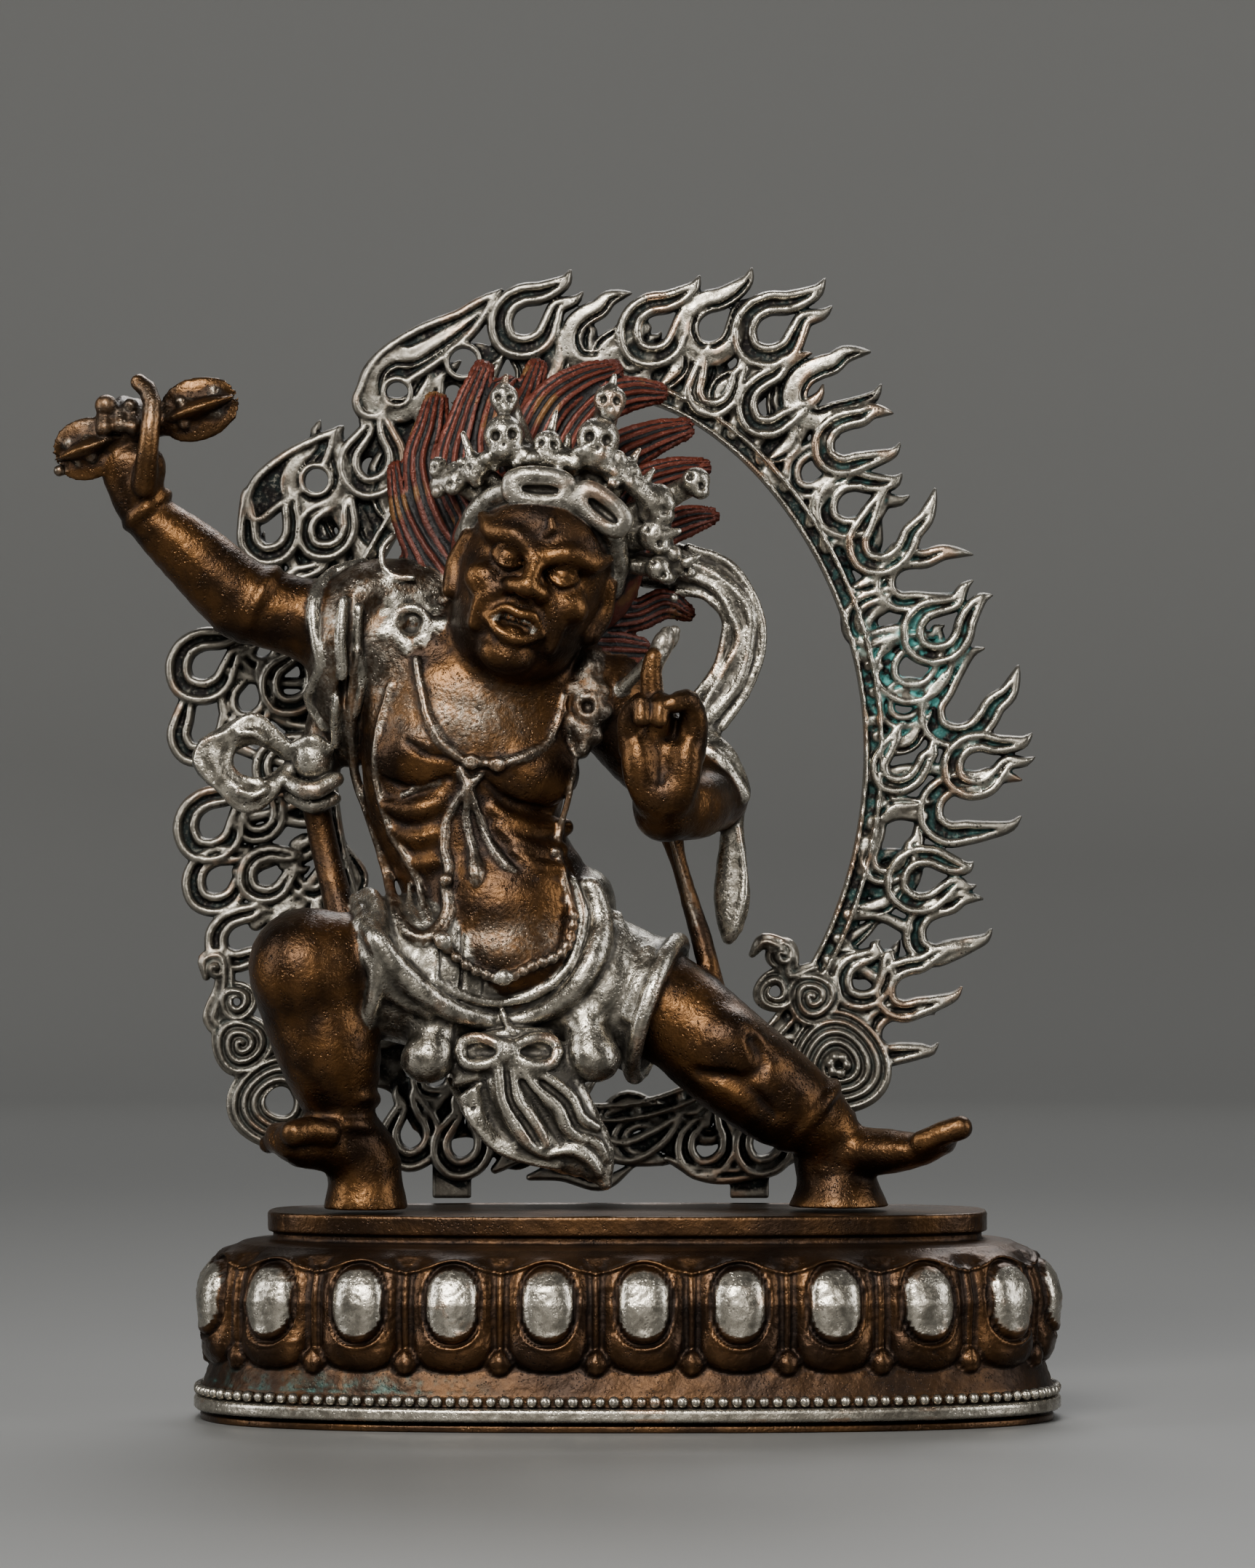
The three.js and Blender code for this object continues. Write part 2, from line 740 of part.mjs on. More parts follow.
// The long scarf: a cape on the shoulders, a bow on one side and a loop on the other.
function makeScarf() {
  const bow = [
    [-27.6, 1.4, 56.6],
    [-31.4, 0.8, 59.2],
    [-35, 0.6, 58.8],
    [-36.4, 0.6, 56],
    [-34.6, 0.6, 53.4],
    [-31, 0.8, 53.2],
    [-27.6, 1.4, 55.2],
  ];
  const loop = [
    [1.4, 2.6, 73],
    [6.6, 2.6, 73.8],
    [9.8, 2, 69.4],
    [9.8, 1.8, 64.8],
    [7.4, 1.6, 60.2],
    [5.4, 1.6, 55.6],
  ];
  const leafEnd = [
    [[6.4, 2.4, 57.4], 1.4, 1.6],
    [[9.2, 2.8, 54.2], 1.2, 1.6],
    [[8.4, 2.8, 52.4], 0.8, 1.2],
    [[9.2, 2.6, 46], 1.5, 1.2],
    [[9.6, 2.4, 41.6], 0.8, 0.8],
  ];
  const tail = [
    [[4.4, 1.6, 52.4], 1.3, 1.2],
    [[5.4, 2.4, 46.8], 0.8],
    [[6.4, 2, 41], 0.8],
    [[7.6, -0.6, 34.8], 1.3],
  ];
  return [
    limb(
      [
        [[-23.6, 2, 60], 2.4, 3.4],
        [[-24.4, -0.2, 66.6], 2.6, 5],
        [[-21, 0.2, 70.6], 3, 4.2],
        [[-14, 1.2, 69], 3, 4],
      ],
    ),
    limb(
      [
        [[-3.6, -1.6, 65], 2, 3.4],
        [[-2.6, -3, 60], 2.4, 2.4],
        [[-4, -4.4, 55], 1, 1.2],
      ],
      { sides: 6 },
    ),
    limb(
      [
        [[-24.8, 1.6, 66], 2, 2.4],
        [[-26.2, 2, 60.4], 1.6, 1.8],
        [[-26.4, 1.6, 55.6], 2.2, 2],
        [[-26.4, 2, 49.6], 1.3],
        [[-24.2, 0.6, 42.4], 1.6],
      ],
      { sides: 6 },
    ),
    limb(bow.map((point) => [point, 1.4, 2]), { sides: 5 }),
    limb(loop.map((point) => [point, 1.8, 1]), { sides: 5 }),
    limb(leafEnd, { sides: 5 }),
    limb(tail, { sides: 5 }),
  ];
}

function makeFigure() {
  return join([
    ...makeTorso(),
    ...makeHead(),
    ...makeHair(),
    ...makeCrown(),
    ...makeRaisedArm(),
    ...makeSceptre(),
    ...makeFoldedArm(),
    ...makeBentLeg(),
    ...makeStraightLeg(),
    ...makeSkirt(),
    ...makeScarf(),
  ]);
}

const copper = new THREE.MeshStandardMaterial({ color: 0x8a5636, metalness: 1, roughness: 0.4 });
const darkCopper = new THREE.MeshStandardMaterial({ color: 0x6b4630, metalness: 1, roughness: 0.45 });
const sheetCopper = new THREE.MeshStandardMaterial({ color: 0xa8603c, metalness: 1, roughness: 0.4 });
const silver = new THREE.MeshStandardMaterial({ color: 0xaaa59a, metalness: 1, roughness: 0.35 });

const statue = new THREE.Group();
statue.add(
  meshOf("plinth", makePlinth(), darkCopper),
  meshOf("base_sheet", makeBaseSheet(), sheetCopper),
  meshOf("flame_halo", makeHalo(), silver),
  meshOf("figure", makeFigure(), copper),
);

export default statue;
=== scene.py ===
# A wrathful guardian lunges on a lotus plinth before a halo of flames: a small copper casting
# with silvered dress. Sizes are in millimetres until a mesh is written.
import itertools
import math

import bpy
import numpy as np
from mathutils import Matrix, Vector


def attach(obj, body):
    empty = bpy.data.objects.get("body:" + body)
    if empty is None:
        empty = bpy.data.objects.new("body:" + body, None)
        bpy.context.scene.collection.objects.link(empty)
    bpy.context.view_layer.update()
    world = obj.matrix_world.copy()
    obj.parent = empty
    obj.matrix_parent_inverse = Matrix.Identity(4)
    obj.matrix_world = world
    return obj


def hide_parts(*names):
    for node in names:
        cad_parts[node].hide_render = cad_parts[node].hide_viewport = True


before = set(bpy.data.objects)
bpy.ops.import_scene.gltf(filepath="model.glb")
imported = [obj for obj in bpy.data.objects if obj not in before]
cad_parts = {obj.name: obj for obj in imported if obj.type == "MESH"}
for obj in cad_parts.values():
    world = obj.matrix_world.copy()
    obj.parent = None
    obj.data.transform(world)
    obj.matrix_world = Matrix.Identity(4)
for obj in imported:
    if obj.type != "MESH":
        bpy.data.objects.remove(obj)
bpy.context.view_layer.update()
print("frame loaded")

mm = 0.001


# Shared sums

def smoothStep(low, high, value):
    t = np.clip((value - low) / (high - low), 0, 1)
    return t * t * (3 - 2 * t)


def smoothRows(rows, pace):
    # A smooth path through the rows, with a row at about every pace along it.
    rows = np.array(rows, float)
    ends = [2 * rows[0] - rows[1], *rows, 2 * rows[-1] - rows[-2]]
    path = []
    for a, b, c, d in zip(ends[:-3], ends[1:-2], ends[2:-1], ends[3:]):
        steps = max(1, math.ceil(np.linalg.norm((c - b)[:-2]) / pace))
        for t in np.arange(steps) / steps:
            bend = (2 * a - 5 * b + 4 * c - d) * t**2 + (3 * b - a - 3 * c + d) * t**3
            path.append(b + 0.5 * ((c - a) * t + bend))
    return np.array([*path, rows[-1]])


def ripple(x, y, z, size):
    # A cheap smooth unevenness between -1 and 1, with bumps of about that size.
    k = 2 * math.pi / size
    first = np.sin(k * x + 1.7 * np.sin(0.6 * k * z + 1)) * np.sin(0.9 * k * z + 1.3 * np.sin(0.7 * k * x))
    return first * np.cos(0.8 * k * y + 0.9 * np.sin(0.5 * k * (x + z)))


def softSpot(x, z, x0, z0, wide, tall, power=2):
    # A soft region, 1 in its middle.
    return np.exp(-(((x - x0) / wide) ** power) - ((z - z0) / tall) ** power)


def unit(vector):
    return np.array(vector, float) / np.linalg.norm(vector)


# Clay: a block of cells that each hold the distance to the surface, and what it is made of

clayReach = 1.5  # distances are kept this far from the surface
farOff = 200  # past either end of every block
copperKind, silverKind, hairKind, washKind = 0, 1, 2, 3
washShare = 0.36  # how silvery the wash is


def startClay(low, high, cell):
    counts = np.ceil((np.array(high) - low) / cell).astype(int) + 1
    field = np.full(counts, clayReach, np.float32)
    return {"low": np.array(low, float), "cell": cell, "field": field, "kind": np.zeros(counts, np.uint8)}


def openBlock(clay, low, high):
    counts = clay["field"].shape
    start = np.clip(np.floor((low - clay["low"]) / clay["cell"]), 0, counts).astype(int)
    stop = np.clip(np.ceil((high - clay["low"]) / clay["cell"]) + 1, 0, counts).astype(int)
    where = tuple(slice(a, b) for a, b in zip(start, stop))
    axes = [
        (clay["low"][i] + clay["cell"] * np.arange(start[i], stop[i])).astype(np.float32) for i in range(3)
    ]
    return where, np.ix_(*axes)


def openAll(clay):
    return openBlock(clay, [-farOff] * 3, [farOff] * 3)


def press(clay, where, distance, kind, soft):
    old = clay["field"][where]
    marks = clay["kind"][where]
    marks[distance < old] = kind
    blend = np.maximum(soft - np.abs(old - distance), 0)
    clay["field"][where] = np.minimum(old, distance) - blend * blend / (4 * soft)


def carve(clay, where, distance, soft):
    old = clay["field"][where]
    blend = np.maximum(soft - np.abs(old + distance), 0)
    clay["field"][where] = np.maximum(old, -distance) + blend * blend / (4 * soft)


def lump(clay, centre, radii, kind=copperKind, soft=0.6, turn=0.0, cutting=False, power=2):
    # An ellipsoid, turned about Y by an angle that leans its top towards +X.
    margin = max(radii) + clayReach
    centre = np.array(centre, float)
    where, (x, y, z) = openBlock(clay, centre - margin, centre + margin)
    x, y, z = x - centre[0], y - centre[1], z - centre[2]
    c, s = math.cos(turn), math.sin(turn)
    across, up = c * x - s * z, s * x + c * z
    size = (
        np.abs(across / radii[0]) ** power + np.abs(y / radii[1]) ** power + np.abs(up / radii[2]) ** power
    ) ** (1 / power)
    reach = np.sqrt(x * x + y * y + z * z)
    distance = reach - reach / np.maximum(size, 1e-3)
    if cutting:
        carve(clay, where, distance, soft)
    else:
        press(clay, where, distance, kind, soft)


def ring(clay, centre, axis, radius, thick, kind=silverKind, soft=0.2):
    margin = radius + thick + clayReach
    centre, axis = np.array(centre, float), unit(axis)
    where, (x, y, z) = openBlock(clay, centre - margin, centre + margin)
    x, y, z = x - centre[0], y - centre[1], z - centre[2]
    along = x * axis[0] + y * axis[1] + z * axis[2]
    out = np.sqrt(np.maximum(x * x + y * y + z * z - along * along, 0)) - radius
    press(clay, where, np.sqrt(out * out + along * along) - thick, kind, soft)


def strand(clay, stations, kind=copperKind, soft=0.5, facing=(0, 1, 0), pace=1.5, ridges=0, depth=0.0,
           sharp=1, cutting=False, cap=None):
    # A limb, fold, lock or cord through stations of [x, y, z, half width, half depth]. The
    # half depth lies along facing. Ridges run along it, that many round its section. Its ends
    # are round, or reach only cap beyond the last station.
    rows = [row if len(row) == 5 else [*row, row[3]] for row in stations]
    rows = smoothRows(rows, pace)
    spots, sizes = rows[:, :3], np.maximum(rows[:, 3:], 0.05)
    tangents = np.gradient(spots, axis=0)
    tangents /= np.linalg.norm(tangents, axis=1, keepdims=True)
    deep = np.array(facing, float) - tangents * (tangents @ np.array(facing, float))[:, None]
    deep /= np.linalg.norm(deep, axis=1, keepdims=True)
    wide = np.cross(deep, tangents)
    margin = sizes.max(axis=1) + clayReach
    whole, _ = openBlock(clay, spots.min(axis=0) - margin.max(), spots.max(axis=0) + margin.max())
    distance = np.full([s.stop - s.start for s in whole], clayReach, np.float32)
    for i in range(len(spots) - 1):
        far = max(margin[i], margin[i + 1])
        low = np.minimum(spots[i], spots[i + 1]) - far
        high = np.maximum(spots[i], spots[i + 1]) + far
        where, (x, y, z) = openBlock(clay, low, high)
        step = spots[i + 1] - spots[i]
        length = max(np.linalg.norm(step), 1e-6)
        line = step / length
        x, y, z = x - spots[i][0], y - spots[i][1], z - spots[i][2]
        along = x * line[0] + y * line[1] + z * line[2]
        t = np.clip(along / length, 0, 1)
        past = along - t * length
        x, y, z = x - t * step[0], y - t * step[1], z - t * step[2]
        u0 = x * wide[i][0] + y * wide[i][1] + z * wide[i][2]
        u1 = x * wide[i + 1][0] + y * wide[i + 1][1] + z * wide[i + 1][2]
        v0 = x * deep[i][0] + y * deep[i][1] + z * deep[i][2]
        v1 = x * deep[i + 1][0] + y * deep[i + 1][1] + z * deep[i + 1][2]
        w = sizes[i][0] + (sizes[i + 1][0] - sizes[i][0]) * t
        d = sizes[i][1] + (sizes[i + 1][1] - sizes[i][1]) * t
        u, v = (u0 + (u1 - u0) * t) / w, (v0 + (v1 - v0) * t) / d
        least = np.minimum(w, d)
        size = np.sqrt(u * u + v * v + (past / (cap or least)) ** 2)
        reach = np.sqrt(x * x + y * y + z * z)
        near = (size - 1) * np.where(size > 0.02, reach / np.maximum(size, 0.02), least)
        if ridges:
            near = near + depth * (0.5 - 0.5 * np.cos(ridges * np.arctan2(u, -v))) ** sharp
        inner = tuple(slice(a.start - b.start, a.stop - b.start) for a, b in zip(where, whole))
        distance[inner] = np.minimum(distance[inner], near)
    if cutting:
        carve(clay, whole, distance, soft)
    else:
        press(clay, whole, distance, kind, soft)


def frontOf(clay, x, z, otherwise):
    # Where the clay's front surface is, at that place in the picture.
    low, cell = clay["low"], clay["cell"]
    column = clay["field"][round((x - low[0]) / cell), :, round((z - low[2]) / cell)]
    inside = np.nonzero(column < 0)[0]
    if len(inside) == 0 or inside[0] == 0:
        return otherwise
    j = inside[0]
    return low[1] + cell * (j - 1 + column[j - 1] / (column[j - 1] - column[j]))


def layRows(clay, line, pace, lift):
    # A path over the clay's front from rows of [x, z, half width, half depth].
    flat = smoothRows(line, pace)
    fronts = []
    for x, z, *_ in flat:
        fronts.append(frontOf(clay, x, z, fronts[-1] if fronts else -4.0))
    fronts = np.convolve(np.pad(fronts, 2, mode="edge"), np.ones(5) / 5, mode="valid")
    return [[x, y - lift * d, z, w, d] for (x, z, w, d), y in zip(flat, fronts)]


def layLine(clay, line, kind=silverKind, soft=0.3, lift=0.3, pace=0.8, **more):
    rows = layRows(clay, [row if len(row) == 4 else [*row, row[2]] for row in line], pace, lift)
    strand(clay, rows, kind, soft, pace=99, **more)


def layBeads(clay, line, radius, spacing, kind=silverKind, soft=0.12):
    for x, y, z, *_ in layRows(clay, [[*spot, radius, radius] for spot in line], spacing, 0.4):
        lump(clay, [x, y, z], [radius] * 3, kind, soft)


def blurred(field, radius):
    # The field's mean over a box of cells, taken along each axis in turn.
    for axis in range(3):
        pads = [(0, 0)] * 3
        pads[axis] = (radius + 1, radius)
        sums = np.cumsum(np.pad(field, pads, mode="edge"), axis=axis, dtype=np.float32)
        ahead = np.take(sums, range(2 * radius + 1, sums.shape[axis]), axis=axis)
        behind = np.take(sums, range(sums.shape[axis] - 2 * radius - 1), axis=axis)
        field = (ahead - behind) / (2 * radius + 1)
    return field


def sample(clay, values, points):
    # Values of the cells round each point, mixed by how near they are.
    place = np.clip((points - clay["low"]) / clay["cell"], 0, np.array(values.shape) - 1.001)
    base = place.astype(int)
    share = place - base
    total = np.zeros(len(points))
    for corner in itertools.product((0, 1), repeat=3):
        weight = np.prod(np.where(corner, share, 1 - share), axis=1)
        total += weight * values[tuple((base + corner).T)]
    return total


def skinOf(clay):
    # The clay's surface as points and outward quads, one point in each cell that it crosses.
    field = clay["field"]
    inside = field < 0
    corners = np.array(list(itertools.product((0, 1), repeat=3)))
    views = [inside[tuple(slice(c, n - 1 + c) for c, n in zip(corner, field.shape))] for corner in corners]
    some, every = views[0].copy(), views[0].copy()
    for view in views[1:]:
        some |= view
        every &= view
    cubes = np.argwhere(some & ~every)
    index = np.full(some.shape, -1, np.int32)
    index[tuple(cubes.T)] = np.arange(len(cubes))
    values = np.stack([field[tuple((cubes + corner).T)] for corner in corners], axis=1)
    total, hits = np.zeros((len(cubes), 3)), np.zeros((len(cubes), 1))
    for a, b in itertools.combinations(range(8), 2):
        if abs(corners[a] - corners[b]).sum() != 1:
            continue
        crossing = (values[:, a] < 0) != (values[:, b] < 0)
        t = np.where(crossing, values[:, a] / np.where(crossing, values[:, a] - values[:, b], 1), 0)
        total += (corners[a] + t[:, None] * (corners[b] - corners[a])) * crossing[:, None]
        hits += crossing[:, None]
    points = clay["low"] + clay["cell"] * (cubes + total / hits)
    quads = []
    for axis in range(3):
        lower, upper = [slice(None)] * 3, [slice(None)] * 3
        lower[axis], upper[axis] = slice(None, -1), slice(1, None)
        spots = np.argwhere(inside[tuple(lower)] != inside[tuple(upper)])
        u, v = np.eye(3, dtype=int)[(axis + 1) % 3], np.eye(3, dtype=int)[(axis + 2) % 3]
        around = [index[tuple((spots - shift).T)] for shift in (u + v, v, 0 * u, u)]
        quad = np.stack(around, axis=1)
        inward = ~inside[tuple(spots.T)]
        quad[inward] = quad[inward][:, ::-1]
        quads.append(quad)
    return points, np.concatenate(quads)


def makeMesh(name, points, faces):
    mesh = bpy.data.meshes.new(name)
    mesh.vertices.add(len(points))
    mesh.vertices.foreach_set("co", (np.asarray(points) * mm).astype(np.float32).ravel())
    mesh.loops.add(faces.size)
    mesh.loops.foreach_set("vertex_index", faces.astype(np.int32).ravel())
    mesh.polygons.add(len(faces))
    mesh.polygons.foreach_set("loop_start", np.arange(0, faces.size, faces.shape[1], dtype=np.int32))
    mesh.polygons.foreach_set("use_smooth", np.ones(len(faces), bool))
    mesh.update(calc_edges=True)
    return mesh


def addObject(name, mesh, finish):
    piece = bpy.data.objects.new(name, mesh)
    bpy.context.scene.collection.objects.link(piece)
    mesh.materials.clear()
    mesh.materials.append(finish)
    return piece


def pointsOf(mesh):
    where = np.empty(3 * len(mesh.vertices), np.float32)
    mesh.vertices.foreach_get("co", where)
    return where.reshape(-1, 3) / mm


def paintPoints(mesh, name, values):
    layer = mesh.attributes.new(name, "FLOAT", "POINT")
    layer.data.foreach_set("value", np.asarray(values, np.float32))


def fireClay(name, clay, finish, triangles):
    # Turns the clay into a mesh of that many triangles, with its hollows and edges marked.
    points, quads = skinOf(clay)
    rough = bpy.data.objects.new(name + "Rough", makeMesh(name + "Rough", points, quads))
    bpy.context.scene.collection.objects.link(rough)
    thin = rough.modifiers.new("thin", "DECIMATE")
    thin.ratio = min(1.0, triangles / (2 * len(quads)))
    graph = bpy.context.evaluated_depsgraph_get()
    mesh = bpy.data.meshes.new_from_object(rough.evaluated_get(graph))
    bpy.data.objects.remove(rough)
    mesh.name = name
    mesh.polygons.foreach_set("use_smooth", np.ones(len(mesh.polygons), bool))
    where = pointsOf(mesh)
    kept = np.clip(clay["field"], -1.2, 1.2)
    for label, width in (("edge", 0.45), ("bulge", 1.3)):
        radius = max(1, round(width / clay["cell"]))
        level = sample(clay, blurred(kept, radius), where) - sample(clay, kept, where)
        paintPoints(mesh, label, level / (radius * clay["cell"]))
    for label, kind in (("silver", silverKind), ("hair", hairKind)):
        share = (clay["kind"] == kind).astype(np.float32)
        if kind == silverKind:
            share += np.float32(washShare) * (clay["kind"] == washKind)
        paintPoints(mesh, label, sample(clay, share, where))
    print(name, "skin", 2 * len(quads), "triangles, kept", sum(len(p.vertices) - 2 for p in mesh.polygons))
    return addObject(name, mesh, finish)


# Finishes

def addNode(tree, kind, inputs=None, **settings):
    made = tree.nodes.new(kind)
    for key, value in settings.items():
        setattr(made, key, value)
    for key, value in (inputs or {}).items():
        if isinstance(value, bpy.types.NodeSocket):
            tree.links.new(value, made.inputs[key])
        else:
            made.inputs[key].default_value = value
    return made


def mixColour(tree, share, first, second):
    made = addNode(tree, "ShaderNodeMix", data_type="RGBA")
    for socket, value in ((0, share), (6, first), (7, second)):
        if isinstance(value, bpy.types.NodeSocket):
            tree.links.new(value, made.inputs[socket])
        else:
            made.inputs[socket].default_value = (*value, 1) if socket else value
    return made.outputs[2]


def mixValue(tree, share, first, second):
    return addNode(tree, "ShaderNodeMix", {0: share, 2: first, 3: second}).outputs[0]


def ramp(tree, value, low, high, toLow=0.0, toHigh=1.0):
    sockets = {"Value": value, "From Min": low, "From Max": high, "To Min": toLow, "To Max": toHigh}
    return addNode(tree, "ShaderNodeMapRange", sockets, interpolation_type="SMOOTHSTEP").outputs["Result"]


def combine(tree, operation, first, second):
    return addNode(tree, "ShaderNodeMath", {0: first, 1: second}, operation=operation,
                   use_clamp=True).outputs[0]


def times(tree, first, second):
    return combine(tree, "MULTIPLY", first, second)


def greater(tree, first, second):
    return combine(tree, "MAXIMUM", first, second)


def attribute(tree, name):
    return addNode(tree, "ShaderNodeAttribute", attribute_name=name).outputs["Fac"]


def grain(tree, place, size, detail=3.0):
    # Noise with patches of about that size in millimetres.
    scale = 1 / (size * mm)
    return addNode(tree, "ShaderNodeTexNoise",
                   {"Vector": place, "Scale": scale, "Detail": detail}).outputs[0]


def pits(tree, place, size, reach):
    # Dots at about that spacing in millimetres, 1 in the middle of each.
    cells = addNode(tree, "ShaderNodeTexVoronoi", {"Vector": place, "Scale": 1 / (size * mm)})
    return ramp(tree, cells.outputs["Distance"], reach, 0.5 * reach)


castFinish = {
    "copperDark": (0.020, 0.011, 0.006),
    "copperWarm": (0.105, 0.049, 0.016),
    "copperWornAndHighlight": (0.24, 0.125, 0.05),
    "copperDull": (0.030, 0.017, 0.010),
    "silver": (0.36, 0.332, 0.278),
    "silverDull": (0.115, 0.104, 0.084),
    "silverWorn": (0.36, 0.24, 0.16),
    "grimeAndShade": (0.008, 0.007, 0.007),
    "hair": (0.052, 0.012, 0.007),
    "hairPale": (0.088, 0.021, 0.012),
    "hairDark": (0.006, 0.005, 0.005),
    "verdigris": (0.05, 0.27, 0.25),
    "patchSize": 4.5,
    "mottleSize": 1.1,
    "fineSize": 0.32,
    "flakePitch": 0.42,
    "pockPitch": 0.3,
    "bumpDepth": 0.3,
    "metal": 0.94,
    "hairMetal": 0.35,
    "stainMetal": 0.2,
    "shine": 0.5,
    "hairShine": 0.22,
    "copperRoughness": 0.31,
    "silverRoughness": 0.21,
    "hairRoughness": 0.42,
    "grimeRoughness": 0.62,
}


def makeCastFinish(name, bump=0.25, polish=0.0, dullness=0.0):
    # Cast copper with a silver wash, red-painted hair, and grime with painted shade in the
    # hollows; bulges and ridges carry painted highlights. The pieces' own layers say where each lies.
    tone = castFinish
    finish = bpy.data.materials.new(name)
    finish.use_nodes = True
    tree = finish.node_tree
    tree.nodes.clear()
    place = addNode(tree, "ShaderNodeTexCoord").outputs["Object"]
    silver, hair = attribute(tree, "silver"), attribute(tree, "hair")
    edge, bulge = attribute(tree, "edge"), attribute(tree, "bulge")
    green, dirtAndShade = attribute(tree, "green"), attribute(tree, "sootAndShade")
    patches = grain(tree, place, tone["patchSize"])
    mottle = grain(tree, place, tone["mottleSize"], 5.0)
    fine = grain(tree, place, tone["fineSize"], 4.0)
    flakes = pits(tree, place, tone["flakePitch"], 0.34)
    broken = times(tree, flakes, ramp(tree, mottle, 0.46, 0.62, 0.0, 0.75 * (1 - polish)))

    # Hollows are darkened: partly grime that lies in them, partly painted shade.
    hollow = times(tree, ramp(tree, edge, -0.01, -0.16), 0.92)
    deepHollow = ramp(tree, bulge, -0.08, -0.36)
    grimeAndShade = greater(tree, hollow, times(tree, deepHollow, 0.7))
    grimeAndShade = times(tree, grimeAndShade, ramp(tree, mottle, 0.3, 0.6, 0.6, 1.0))
    # The painted dark layer read above: real soot on the figure, painted shade in the halo's set-back
    # parts, dark bands on the plinth.
    dirtAndShade = times(tree, dirtAndShade, ramp(tree, edge, -0.02, 0.14, 1.0, 0.62))
    dirtAndShade = times(tree, dirtAndShade, ramp(tree, fine, 0.7, 0.5, 0.75, 1.0))
    grimeAndShade = greater(tree, grimeAndShade, dirtAndShade)
    ridge = ramp(tree, edge, 0.05, 0.2)

    copper = mixColour(tree, ramp(tree, patches, 0.34, 0.68), tone["copperDark"], tone["copperWarm"])
    copper = mixColour(tree, ramp(tree, mottle, 0.35, 0.75, 0.0, 0.4), copper, tone["copperDark"])
    # Bulges are painted a paler copper: partly real wear, partly a painted highlight.
    wearAndHighlight = times(tree, ramp(tree, bulge, 0.05, 0.55), ramp(tree, patches, 0.3, 0.6, 0.3, 1.0))
    copper = mixColour(tree, times(tree, wearAndHighlight, 0.5 - 0.4 * dullness), copper, tone["copperWornAndHighlight"])
    copper = mixColour(tree, dullness, copper, tone["copperDull"])
    pocked = times(tree, pits(tree, place, tone["pockPitch"], 0.3), ramp(tree, mottle, 0.5, 0.62, 0.1, 0.8))
    copper = mixColour(tree, pocked, copper, tone["grimeAndShade"])

    worn = times(tree, ramp(tree, mottle, 0.36, 0.6), ramp(tree, patches, 0.25, 0.62, 0.35, 1.0))
    bright = mixColour(tree, combine(tree, "ADD", worn, polish), tone["silverDull"], tone["silver"])
    # Ridges are painted towards full silver: a painted highlight.
    bright = mixColour(tree, times(tree, ridge, 0.7), bright, tone["silver"])
    rubbed = times(tree, ridge, ramp(tree, patches, 0.55, 0.66))
    bright = mixColour(tree, times(tree, rubbed, 0.8), bright, tone["silverWorn"])

    red = mixColour(tree, ramp(tree, mottle, 0.3, 0.7), tone["hair"], tone["hairPale"])
    red = mixColour(tree, ramp(tree, patches, 0.6, 0.68), red, tone["copperWarm"])
    # The hair's grooves are painted dark as painted shade.
    hairGroove = ramp(tree, edge, 0.02, -0.1)
    red = mixColour(tree, hairGroove, red, tone["hairDark"])

    speckle = combine(tree, "ADD", ramp(tree, fine, 0.3, 0.7, -0.1, 0.1),
                      ramp(tree, mottle, 0.3, 0.7, -0.14, 0.14))
    plated = ramp(tree, combine(tree, "ADD", silver, speckle), 0.36, 0.7)
    haze = times(tree, ramp(tree, silver, 0.04, 0.36), ramp(tree, fine, 0.3, 0.7, 0.12, 0.46))
    plated = greater(tree, plated, haze)
    painted = ramp(tree, hair, 0.35, 0.65)
    colour = mixColour(tree, plated, copper, bright)
    colour = mixColour(tree, painted, colour, red)
    # Where this darkening lies the colour goes near black: grime, soot and flakes, with painted shade in
    # the hollows.
    sootAndShade = greater(tree, grimeAndShade, times(tree, broken, plated))
    sootAndShade = times(tree, sootAndShade, mixValue(tree, plated, 0.75, 1.0))
    colour = mixColour(tree, sootAndShade, colour, tone["grimeAndShade"])
    stain = times(tree, green, ramp(tree, mottle, 0.42, 0.6))
    stain = times(tree, stain, ramp(tree, edge, 0.08, -0.1, 0.12, 1.0))
    colour = mixColour(tree, stain, colour, tone["verdigris"])

    metal = mixValue(tree, painted, tone["metal"], tone["hairMetal"])
    metal = mixValue(tree, stain, metal, tone["stainMetal"])
    dull = mixValue(tree, plated, tone["copperRoughness"], tone["silverRoughness"])
    dull = mixValue(tree, painted, dull, tone["hairRoughness"])
    dull = mixValue(tree, ramp(tree, fine, 0.3, 0.75, 0.0, 0.4), dull, 0.5)
    dull = mixValue(tree, greater(tree, sootAndShade, stain), dull, tone["grimeRoughness"])

    height = mixValue(tree, 0.5, fine, mottle)
    height = combine(tree, "SUBTRACT", height, times(tree, broken, 0.7))
    height = combine(tree, "SUBTRACT", height, times(tree, pocked, 0.5))
    depth = tone["bumpDepth"] * mm
    rough = addNode(tree, "ShaderNodeBump", {"Height": height, "Strength": bump, "Distance": depth})
    inputs = {"Base Color": colour, "Metallic": metal, "Roughness": dull, "Normal": rough.outputs["Normal"]}
    inputs["Specular IOR Level"] = mixValue(tree, painted, tone["shine"], tone["hairShine"])
    shader = addNode(tree, "ShaderNodeBsdfPrincipled", inputs)
    addNode(tree, "ShaderNodeOutputMaterial", {"Surface": shader.outputs["BSDF"]})
    return finish


castMetal = makeCastFinish("castMetal", bump=0.4, dullness=0.12)
haloMetal = makeCastFinish("haloMetal", bump=0.16, polish=-0.15)
plinthMetal = makeCastFinish("plinthMetal", bump=0.28, polish=0.35, dullness=0.55)


# Plinth

